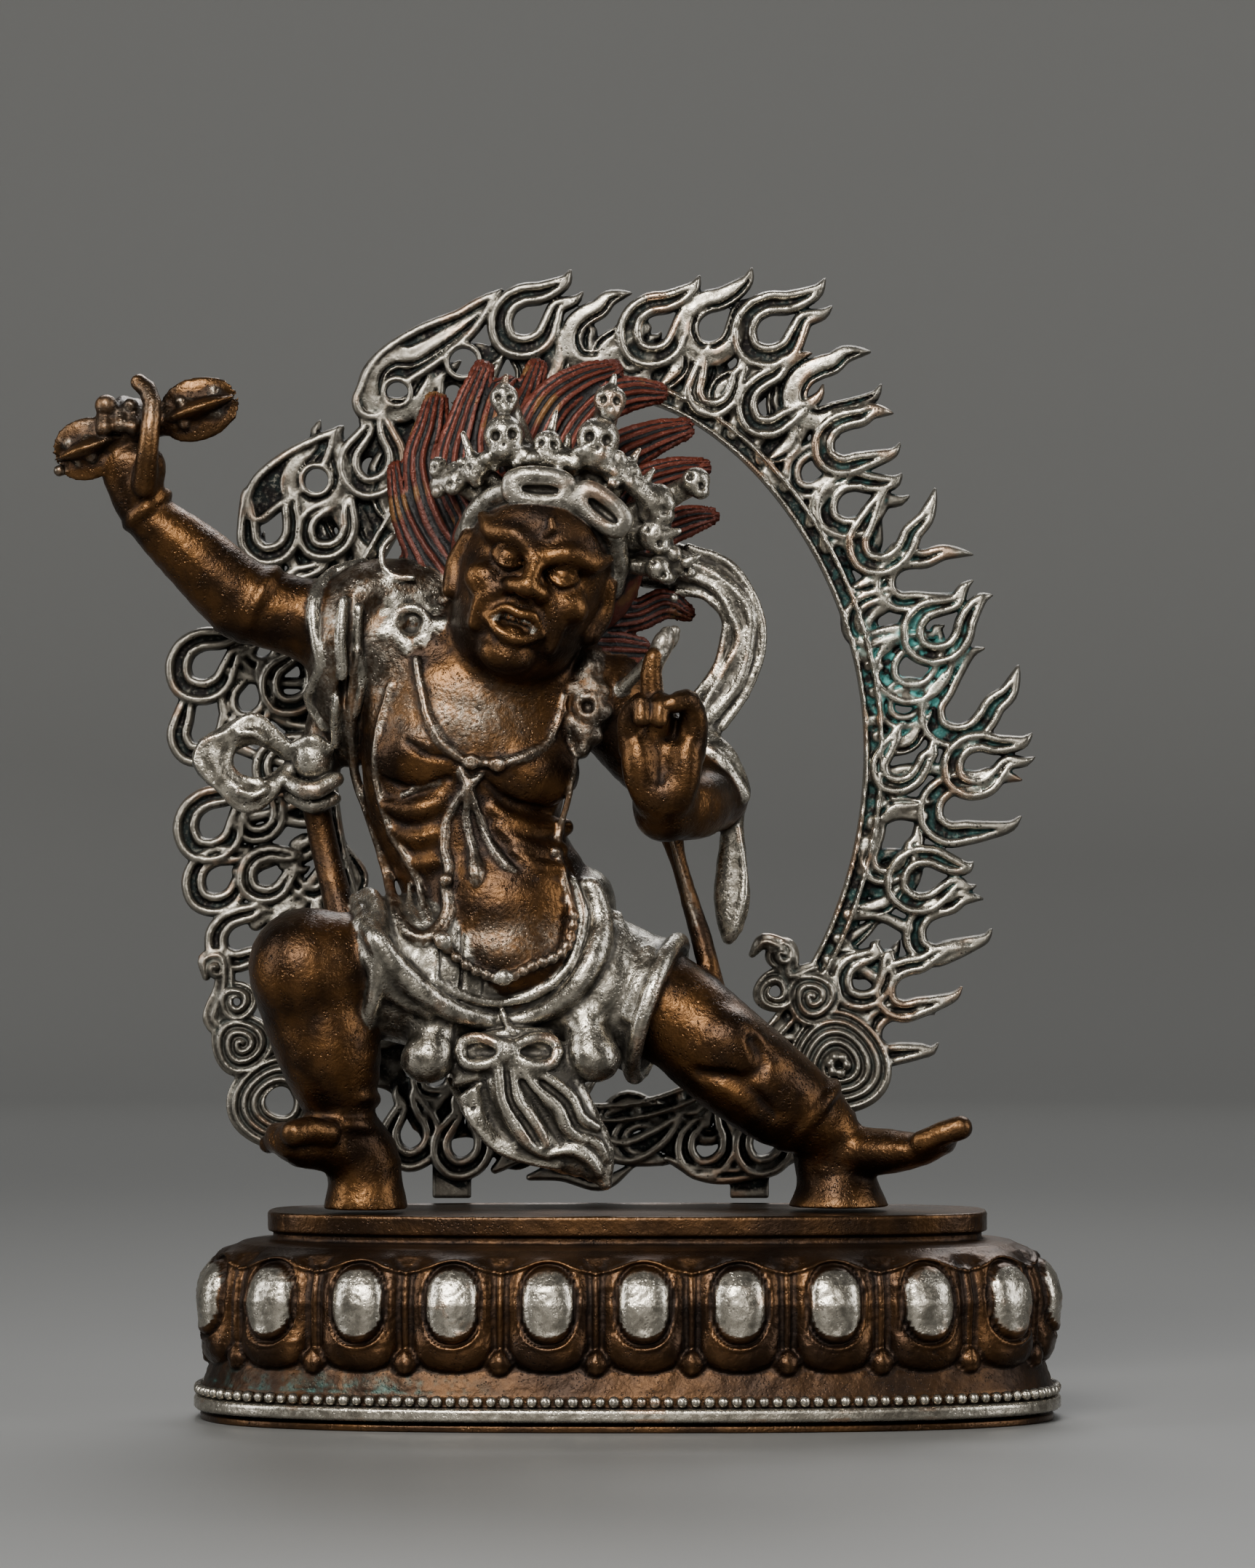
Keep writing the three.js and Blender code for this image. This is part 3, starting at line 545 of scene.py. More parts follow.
plinth = {
    "halfWidth": 35.7,
    "halfDepth": 16.0,
    "roundness": 2.7,
    "top": 17.7,
    "petals": 22,
    "petalShift": 0.17,
    "petalPitch": 8.0,
    "beads": 160,
    "beadRadius": 0.47,
    "beadHeight": 2.6,
    "beadUnevenness": 0.09,
    "sheetThickness": 0.6,
    "columnsPerPetal": 30,
    "rowPace": 0.16,
    "outermost": 2.08,
}


def planCurve(count, shift=0.0):
    # The plinth's plan at an even pace, with the outward direction at each point.
    turn = np.linspace(0, 2 * math.pi, 2881)
    power = 2 / plinth["roundness"]
    c, s = np.cos(turn), np.sin(turn)
    x = plinth["halfWidth"] * np.sign(c) * np.abs(c) ** power
    y = plinth["halfDepth"] * np.sign(s) * np.abs(s) ** power
    length = np.concatenate([[0], np.cumsum(np.hypot(np.diff(x), np.diff(y)))])
    goal = ((np.arange(count) / count + shift) % 1) * length[-1]
    spots = np.stack([np.interp(goal, length, x), np.interp(goal, length, y)], axis=1)
    edge = np.roll(spots, -1, axis=0) - np.roll(spots, 1, axis=0)
    edge /= np.linalg.norm(edge, axis=1, keepdims=True)
    return spots, np.stack([edge[:, 1], -edge[:, 0]], axis=1)


def sweepMesh(name, rings):
    # Closes a stack of rings, each [count, 3], from the bottom middle to the top middle.
    rings = np.array(rings)
    layers, count = rings.shape[:2]
    points = np.concatenate([rings.reshape(-1, 3), [rings[0].mean(axis=0), rings[-1].mean(axis=0)]])
    j = np.arange(count)
    k = (j + 1) % count
    faces = [np.stack([np.full(count, len(points) - 2), k, j], axis=1)]
    for row in range(0, (layers - 1) * count, count):
        faces.append(np.stack([row + j, row + k, row + count + k], axis=1))
        faces.append(np.stack([row + j, row + count + k, row + count + j], axis=1))
    last = (layers - 1) * count
    faces.append(np.stack([np.full(count, len(points) - 1), last + j, last + k], axis=1))
    return makeMesh(name, points, np.concatenate(faces)), points


def puff(value, power):
    return np.maximum(value, 0) ** power


def petalRelief(across, z):
    # How far the petals stand out, and how much of that is silvered boss. Each petal is a
    # cushion that swells below a long domed boss, under an arched lip.
    pitch = plinth["petalPitch"]
    a = (across - 0.5) * pitch
    b = (across % 1) * pitch
    b = np.minimum(b, pitch - b)
    low = np.abs(np.minimum(z - 7.3, 0) / 2.35) ** 2.3
    high = np.abs(np.maximum(z - 11, 0) / 4.2) ** 4
    petal = 1 - np.abs(a / 3.3) ** 2.8 - low - high
    swell = 0.62 + 0.62 * smoothStep(9.0, 7.0, z)
    boss = 1 - np.abs(a / 2.25) ** 2.3 - np.abs((z - 10.6) / 3.2) ** 2.5
    silvered = 1 - np.abs(a / 2.15) ** 2.3 - np.abs((z - 10.75) / 2.75) ** 2.5
    groove = 0.42 * np.exp(-((boss + 0.1) / 0.13) ** 2) * smoothStep(0, 0.1, petal)
    lip = 0.16 * np.exp(-((boss + 0.42) / 0.13) ** 2) * smoothStep(0, 0.1, petal) * smoothStep(11.5, 9.5, z)
    bud = 1 - np.abs(b / 1.15) ** 1.7 - np.abs((z - 5.75) / 1.15) ** 1.8
    stem = 0.5 * np.exp(-(b / 0.22) ** 2) * smoothStep(6, 7.4, z) * smoothStep(13.8, 13, z)
    arch = 13.75 + 0.5 * np.cos(2 * math.pi * a / pitch)
    line = 0.34 * np.exp(-((z - arch) / 0.17) ** 2)
    out = 1.05 * swell * puff(petal, 0.5) + 1.0 * puff(boss, 0.55) - groove + lip
    out = out + 1.0 * puff(bud, 0.6) + stem
    out = out * smoothStep(4.5, 4.9, z) * smoothStep(14.9, 14.2, z) + line
    return out, smoothStep(0.0, 0.1, silvered)


def makePlinth():
    count = plinth["petals"] * plinth["columnsPerPetal"]
    spots, outward = planCurve(count, plinth["petalShift"] / plinth["petals"])
    across = (np.arange(count) / plinth["columnsPerPetal"]) % 1
    foot = plinth["sheetThickness"] + 0.3
    top = plinth["top"]
    # [reach from the plan curve, height]
    profile = [
        [1.2, foot], [1.42, foot + 0.2], [1.42, 1.8], [1.3, 1.98], [0.95, 2.05], [0.72, 2.15], [0.7, 3.0],
        [0.6, 3.2], [0.35, 4.0], [0.1, 4.7], [-0.2, 5.3], [-0.3, 7], [-0.15, 9], [-0.1, 10.6], [-0.4, 12.2],
        [-1, 13.6], [-1.7, 14.5], [-2.6, 15.0], [-3.6, 15.2], [-4.5, 15.25], [-5.2, 15.3], [-5.35, 15.5],
        [-5.35, 15.9], [-4.95, 16.05], [-4.9, 16.15], [-4.9, top - 0.2], [-4.98, top - 0.05], [-5.15, top],
    ]
    fine = []
    for (a, z0), (b, z1) in zip(profile[:-1], profile[1:]):
        steps = max(1, round(math.hypot(b - a, z1 - z0) / plinth["rowPace"]))
        fine += [[a + (b - a) * i / steps, z0 + (z1 - z0) * i / steps] for i in range(steps)]
    fine.append(profile[-1])
    rings, silver = [], []
    for share in (0.3, 0.7, 0.97):
        rings.append(np.column_stack([share * spots, np.full(count, foot)]))
        silver.append(np.zeros(count))
    for reach, z in fine:
        relief, boss = petalRelief(across, z)
        wobble = 0.06 * ripple(spots[:, 0], spots[:, 1], np.full(count, z), 5.2)
        wobble += 0.03 * ripple(spots[:, 0], spots[:, 1], np.full(count, z), 1.3)
        out = reach + relief + wobble * (1.5 if 3.4 < z < 15.4 else 0.6)
        ringSpots = spots + outward * np.minimum(out, plinth["outermost"])[:, None]
        rings.append(np.column_stack([ringSpots, np.full(count, z)]))
        silver.append(np.where(z < 2.07, 0.62, boss * (5 < z < 15.2)))
    edge = rings[-1]
    for share in (0.985, 0.93, 0.8, 0.6, 0.4, 0.2, 0.06):
        flat = edge * [share, share, 1]
        flat[:, 2] -= 0.08 + 0.04 * ripple(flat[:, 0], flat[:, 1], flat[:, 2], 16)
        rings.append(flat)
        silver.append(np.zeros(count))
    mesh, points = sweepMesh("lotusPlinth", rings)
    paintPoints(mesh, "silver", np.concatenate([np.concatenate(silver), [0, 0]]))
    paintHollows(mesh, np.array(rings))
    paintPoints(mesh, "hair", np.zeros(len(points)))
    damp = np.exp(-(((points[:, 2] - 3.5) / 0.9) ** 2)) * smoothStep(-8, -26, points[:, 0])
    paintPoints(mesh, "green", 0.16 * damp)
    z = points[:, 2]
    # Two bands are painted dark: the slope below the petals and the neck under the rim plate.
    darkBands = 0.55 * smoothStep(2.7, 3.2, z) * smoothStep(5.2, 4.6, z)
    paintPoints(mesh, "sootAndShade", darkBands + 0.5 * smoothStep(13.8, 14.6, z) * smoothStep(15.9, 15.5, z))
    return addObject("lotus_plinth", mesh, plinthMetal)


def paintHollows(mesh, rings):
    # Marks hollows and edges: how far each point stands out from the mean round it.
    layers = len(rings)
    du = np.roll(rings, -1, axis=1) - np.roll(rings, 1, axis=1)
    dv = np.gradient(rings, axis=0)
    normal = np.cross(du, dv)
    normal /= np.maximum(np.linalg.norm(normal, axis=2, keepdims=True), 1e-9)
    perStep = plinth["columnsPerPetal"] / plinth["petalPitch"]
    for label, width in (("edge", 0.45), ("bulge", 1.3)):
        radius = max(1, round(width * perStep))
        mean = np.zeros_like(rings)
        for shift in range(-radius, radius + 1):
            mean += np.roll(rings, shift, axis=1)
        mean /= 2 * radius + 1
        tall = np.pad(mean, ((radius, radius), (0, 0), (0, 0)), mode="edge")
        mean = sum(tall[i : i + layers] for i in range(2 * radius + 1)) / (2 * radius + 1)
        level = ((rings - mean) * normal).sum(axis=2) / width
        level[:3] = 0
        level[-7:] = 0
        paintPoints(mesh, label, np.concatenate([1.4 * level.ravel(), [0, 0]]))


def makeSheet():
    spots, outward = planCurve(360)
    rings = []
    for reach, z in ((0.5, 0), (0.85, 0.02), (0.9, 0.12), (0.86, 0.28), (0.9, 0.45), (0.8, 0.6)):
        wave = 0.08 * ripple(spots[:, 0], spots[:, 1], np.full(360, z), 9)
        rings.append(np.column_stack([spots + outward * (reach + wave - 0.08)[:, None], np.full(360, z)]))
    mesh, points = sweepMesh("baseSheet", rings)
    for label, value in (("silver", 0), ("hair", 0), ("green", 0), ("edge", 0.05), ("bulge", 0.3)):
        paintPoints(mesh, label, np.full(len(points), float(value)))
    return addObject("copper_sheet", mesh, plinthMetal)


def makeBeads():
    # A row of beads along the plinth's foot, grown on a curve by geometry nodes.
    spots, outward = planCurve(360)
    line = spots + 0.98 * outward
    curve = bpy.data.curves.new("beadLine", "CURVE")
    curve.dimensions = "3D"
    spline = curve.splines.new("POLY")
    spline.points.add(len(line) - 1)
    for point, (x, y) in zip(spline.points, line):
        point.co = (x * mm, y * mm, plinth["beadHeight"] * mm, 1)
    spline.use_cyclic_u = True
    holder = bpy.data.objects.new("beadLine", curve)
    bpy.context.scene.collection.objects.link(holder)

    tree = bpy.data.node_groups.new("beadRow", "GeometryNodeTree")
    tree.interface.new_socket("Geometry", in_out="INPUT", socket_type="NodeSocketGeometry")
    tree.interface.new_socket("Geometry", in_out="OUTPUT", socket_type="NodeSocketGeometry")
    sockets = {}
    for label, kind in (("Bead count", "Int"), ("Bead radius", "Float"), ("Unevenness", "Float")):
        sockets[label] = tree.interface.new_socket(label, in_out="INPUT", socket_type="NodeSocket" + kind)
    given = tree.nodes.new("NodeGroupInput").outputs
    count = given["Bead count"]
    places = addNode(tree, "GeometryNodeResampleCurve", {"Curve": given["Geometry"], "Count": count})
    ball = {"Segments": 10, "Rings": 7, "Radius": given["Bead radius"]}
    bead = addNode(tree, "GeometryNodeMeshUVSphere", ball)
    spread = addNode(tree, "ShaderNodeMath", {0: 1.0, 1: given["Unevenness"]}, operation="SUBTRACT")
    most = addNode(tree, "ShaderNodeMath", {0: 1.0, 1: given["Unevenness"]}, operation="ADD")
    sizing = addNode(tree, "FunctionNodeRandomValue", {"Seed": 7}, data_type="FLOAT")
    for socket in sizing.inputs:
        if socket.name in ("Min", "Max") and socket.type == "VALUE":
            source = spread if socket.name == "Min" else most
            tree.links.new(source.outputs[0], socket)
    inputs = {"Points": places.outputs["Curve"], "Instance": bead.outputs["Mesh"],
              "Scale": sizing.outputs[1]}
    placed = addNode(tree, "GeometryNodeInstanceOnPoints", inputs)
    real = addNode(tree, "GeometryNodeRealizeInstances", {"Geometry": placed.outputs["Instances"]})
    smooth = addNode(tree, "GeometryNodeSetShadeSmooth", {"Geometry": real.outputs["Geometry"]})
    finished = {"Geometry": smooth.outputs[0], "Material": plinthMetal}
    painted = addNode(tree, "GeometryNodeSetMaterial", finished)
    addNode(tree, "NodeGroupOutput", {"Geometry": painted.outputs["Geometry"]})

    row = holder.modifiers.new("beadRow", "NODES")
    row.node_group = tree
    row[sockets["Bead count"].identifier] = plinth["beads"]
    row[sockets["Bead radius"].identifier] = plinth["beadRadius"] * mm
    row[sockets["Unevenness"].identifier] = plinth["beadUnevenness"]
    mesh = bpy.data.meshes.new_from_object(holder.evaluated_get(bpy.context.evaluated_depsgraph_get()))
    bpy.data.objects.remove(holder)
    mesh.name = "beadRow"
    rise = (pointsOf(mesh)[:, 2] - plinth["beadHeight"]) / plinth["beadRadius"]
    for label, value in (("silver", 0.7), ("hair", 0), ("green", 0), ("bulge", 0.1)):
        paintPoints(mesh, label, np.full(len(rise), float(value)))
    # The edge layer is set by height on each bead, so the material paints a highlight along the middle row
    # and painted shade at the top and bottom.
    paintPoints(mesh, "edge", 0.2 - 0.45 * np.abs(rise) ** 2)
    return addObject("bead_row", mesh, plinthMetal)


plinthPiece, sheetPiece, beadPiece = makePlinth(), makeSheet(), makeBeads()
print("plinth made")


# Halo of flames

halo = {
    "x": -2.4,
    "z": 57.4,
    "halfWidth": 23.1,
    "halfHeight": 31.0,
    "front": 10.05,
    "thickness": 2.1,
    "ringWidth": 1.75,
    "rootReach": 5,
    "openReach": 2.4,
    "drops": 28,
    "dropReach": 3.5,
    "rim": 0.64,
    "dip": 0.6,
    "curlScale": 1.12,
    "bars": 22,
    "cloudPitch": 0.85,
    "cell": 0.17,
    "triangles": 192000,
}


def ringPoint(turn, out):
    rise = math.sin(turn)
    pinch = 1 - 0.1 * max(rise, 0) ** 2
    x, z = halo["halfWidth"] * math.cos(turn) * pinch, halo["halfHeight"] * rise
    normal = unit([x / halo["halfWidth"] ** 2, z / halo["halfHeight"] ** 2])
    return halo["x"] + x + normal[0] * out, halo["z"] + z + normal[1] * out


def ringPlace(x, z):
    # The way round the ring and the distance out from its opening, for any place.
    x, z = x - halo["x"], z - halo["z"]
    turn = np.arctan2(z / halo["halfHeight"], x / halo["halfWidth"])
    pinch = 1 - 0.1 * np.maximum(np.sin(turn), 0) ** 2
    wide, tall = halo["halfWidth"] * pinch, halo["halfHeight"]
    size = np.sqrt((x / wide) ** 2 + (z / tall) ** 2)
    slope = np.sqrt((x / wide**2) ** 2 + (z / tall**2) ** 2)
    return turn, (size - 1) * size / np.maximum(slope, 1e-4)


def pressPlate(clay, where, y, flat, front, back, soft=0.12):
    # Gives a flat shape its thickness, with rounded edges. Front may differ from place to place.
    def both(a, b, blend):
        more = np.maximum(blend - np.abs(a - b), 0)
        return np.maximum(a, b) + more * more / (4 * blend)

    distance = both(both(flat, front - y, 0.4), y - back, 0.3)
    press(clay, where, distance.astype(np.float32), silverKind, soft)


def stroke(clay, line, front, back=None, lines=0, rim=0):
    # A flat band along rows of [x, z, half width, set back]. It has a raised rim along each
    # edge and a channel between them, or that many even grooves, or with rim 1 or -1 a flat
    # face with a raised rim along its left or right edge alone.
    rows = smoothRows(line, 0.5)
    margin = rows[:, 2].max() + clayReach
    low, high = rows[:, :2].min(axis=0) - margin, rows[:, :2].max(axis=0) + margin
    where, (x, y, z) = openBlock(clay, [low[0], -farOff, low[1]], [high[0], farOff, high[1]])
    shape = (x.shape[0], 1, z.shape[2])
    flat, across, setBack = np.full(shape, clayReach), np.zeros(shape), np.zeros(shape)
    for a, b in zip(rows[:-1], rows[1:]):
        step = (b - a)[:2]
        length = max(np.hypot(*step), 1e-6)
        dx, dz = x - a[0], z - a[1]
        t = np.clip((dx * step[0] + dz * step[1]) / length**2, 0, 1)
        width = a[2] + (b[2] - a[2]) * t
        near = np.hypot(dx - t * step[0], dz - t * step[1]) - width
        closer = near < flat
        flat = np.where(closer, near, flat)
        across = np.where(closer, (dz * step[0] - dx * step[1]) / (length * np.maximum(width, 0.1)), across)
        setBack = np.where(closer, a[3] + (b[3] - a[3]) * t, setBack)
    inward = -flat
    if lines:
        groove = 0.3 * (0.5 - 0.5 * np.cos(2 * math.pi * lines * (0.5 + 0.5 * across)))
    elif rim:
        trough = smoothStep(0.28, 0.4, inward) * smoothStep(0.72, 0.54, inward)
        trough = trough * smoothStep(0, 0.2, rim * across)
        groove = 0.5 * trough + 0.1 * smoothStep(0.1, 0.5, -rim * across)
    else:
        groove = halo["dip"] * smoothStep(halo["rim"], halo["rim"] + 0.24, inward)
    groove = groove + 0.3 * smoothStep(0.36, 0, inward) ** 2
    face = front + setBack + groove + 0.04 * ripple(x, 0 * x, z, 2.3)
    pressPlate(clay, where, y, flat, face, back or halo["front"] + halo["thickness"])


# Curls of flame, all blown up and to the right: [hole x, hole z, tip x, tip z, radius, and
# the side on which the short tip stands: -1 right of the long one, 1 left of it, twice that
# for a curl that stays open].
outerCurls = [
    [-20.4, 89.1, -10.9, 97.7, 2.7, -1], [-9.2, 94.6, -4.9, 99.4, 2.6, -1],
    [-3.2, 93.2, 0.4, 97.4, 2.4, -2], [2.1, 93.8, 6.4, 98.9, 2.6, -1], [7.1, 94, 11.0, 99.6, 2.6, -1],
    [12.2, 93.8, 17.4, 98.6, 2.7, -1], [16.6, 88.3, 21.4, 92.2, 2.6, -2], [18.9, 84, 23.3, 86.8, 2.4, -2],
    [19.2, 78.6, 24.1, 81.5, 2.5, -1], [22, 75.4, 26.9, 80.4, 2.5, 2], [24.2, 72, 30.3, 74.4, 2.3, -2],
    [26.8, 67.6, 31.9, 71, 2.5, 1], [28.7, 60.6, 34.2, 64.9, 2.8, 2], [30.2, 55.8, 35.5, 58.7, 2.4, -1],
    [28.5, 52, 34.6, 54.6, 2.7, -2], [25.4, 45.8, 30.3, 47.4, 2.5, -1], [26.9, 41.2, 31.2, 44.2, 2.4, -2],
    [24.2, 36.2, 30.4, 40.1, 2.3, -2], [23, 32.4, 26.9, 34.1, 2.3, -2], [-22.5, 82.2, -21, 87.2, 2.5, 1],
    [-27.4, 80.6, -25, 85.8, 2.6, 1], [-31.4, 76.2, -30.2, 80.8, 2.4, 2],
    [-32.6, 70.4, -28.6, 73.2, 2.3, 1], [-37.4, 64.4, -33.4, 68.4, 2.6, -1],
    [-37.5, 58.7, -35.4, 62, 2.4, 2], [-36.7, 50.4, -33.8, 54.4, 2.6, -1],
    [-36.2, 45.6, -33, 49, 2.4, -1], [-34.3, 40.6, -30.8, 43, 2.3, -2], [-28, 34.4, -24.6, 37.8, 2.2, -1],
    [-27, 28.6, -23.6, 32, 2.3, -1], [-19, 23.2, -18.4, 28, 2.3, 1], [-14.6, 22.4, -13.2, 27.4, 2.3, 1],
    [6.8, 22.4, 8.6, 27, 2.3, 1], [11.8, 22.6, 14, 27.4, 2.3, 1],
]
leftCurls = [
    [-29.6, 62.9, -27.2, 66.4, 2.3, 1], [-33.4, 61.4, -31.6, 65.6, 2.1, 1],
    [-30.4, 55.6, -28.4, 59, 2.1, -1], [-32.4, 51.4, -30.6, 55, 2.0, 1],
    [-31.8, 46.2, -28.6, 48.6, 2.1, -1], [-29.2, 41.4, -26.6, 44.6, 2.0, 1],
    [-26.6, 76.4, -23.8, 79.6, 2.2, 1], [-28.6, 70.6, -26.2, 74.4, 2.1, -1],
    [12.2, 87.4, 16.2, 92.1, 2.4, -2], [24.6, 64.4, 29, 66.6, 2.7, 1], [7.4, 88.8, 9.8, 92.4, 2.1, 2],
    [21.2, 68.6, 24.2, 70.8, 2.1, -2], [23.6, 55.8, 26.6, 58.6, 2.1, 2], [22.6, 47.8, 25.2, 51, 2.1, 2],
    [20.4, 37, 23.4, 39.6, 2.2, 1],
]

# Clouds at the foot of the flames: [x, z, radius, radius of the hole].
clouds = [
    [18.4, 29.8, 4.6, 0], [16.2, 35.7, 2.5, 0], [12.9, 36.2, 1.9, 0.5], [13.6, 39.4, 1.5, 0],
    [-36, 38.2, 0.95, 0], [-34.2, 35.3, 1.9, 0.35], [-33.7, 31.6, 2.8, 0], [-30.4, 26.6, 4.5, 1.25],
]


def curl(clay, row, front, rim=0):
    x, z, tipX, tipZ, radius, side = row
    radius *= halo["curlScale"]
    reach = math.hypot(tipX - x, tipZ - z)
    c, s = (tipX - x) / reach, (tipZ - z) / reach
    far = max(reach / radius, 1.35)
    short = min(1.95, 0.93 * far)
    # [along, across, half width, set back], in units of the curl's radius, from the short
    # tip round the hole to the long tip
    bowl = [[0.14, -0.74, 0.37, 0.02], [-0.42, -0.54, 0.4, 0], [-0.7, 0, 0.41, 0], [-0.42, 0.54, 0.4, 0]]
    if abs(side) == 1:
        shape = [
            [short, -0.68, 0.04, 0.12], [0.82 * short, -0.66, 0.17, 0.12], [1.12, -0.42, 0.27, 0.1],
            [0.72, -0.55, 0.32, 0.06], *bowl, [0.12, 0.76, 0.37, 0], [0.66, 0.62, 0.36, 0],
            [1.02, 0.3, 0.35, 0], [1.02 + 0.36 * (far - 1.02), 0.06, 0.3, 0.02],
            [1.02 + 0.7 * (far - 1.02), -0.06, 0.2, 0.05], [far, 0.04, 0.04, 0.08],
        ]
    else:
        shape = [
            [0.9 * short, -0.92, 0.04, 0.1], [0.7 * short, -1.06, 0.17, 0.1], [0.72, -0.92, 0.28, 0.06],
            *bowl, [0.1, 0.74, 0.37, 0], [0.6, 0.66, 0.36, 0], [1.0, 0.5, 0.34, 0],
            [1.0 + 0.4 * (far - 1), 0.48, 0.28, 0.02], [1.0 + 0.75 * (far - 1), 0.26, 0.17, 0.05],
            [far, 0.04, 0.04, 0.08],
        ]
    side = math.copysign(1, side)
    line = [
        [
            x + (along * c + side * across * s) * radius,
            z + (along * s - side * across * c) * radius,
            width * radius,
            back * radius,
        ]
        for along, across, width, back in shape
    ]
    stroke(clay, line, front, rim=rim * side)


def cloudBoss(clay, x0, z0, radius, hole):
    # A swelling cloud with a spiral groove.
    wide = radius + 2
    where, (x, y, z) = openBlock(clay, [x0 - wide, -farOff, z0 - wide], [x0 + wide, farOff, z0 + wide])
    dx, dz = x - x0, z - z0
    out = np.hypot(dx, dz) * (1 + 0.05 * np.sin(3 * np.arctan2(dz, dx) + x0))
    wave = 1 - np.cos(2 * math.pi * out / halo["cloudPitch"] - np.arctan2(dz, dx))
    groove = 0.26 * wave * smoothStep(0, 0.5, radius - out)
    face = halo["front"] - 0.95 + 0.9 * (out / radius) ** 2 + groove
    flat = np.maximum(out - radius, hole - out) if hole else out - radius
    pressPlate(clay, where, y, flat, face, halo["front"] + halo["thickness"] - 0.4)


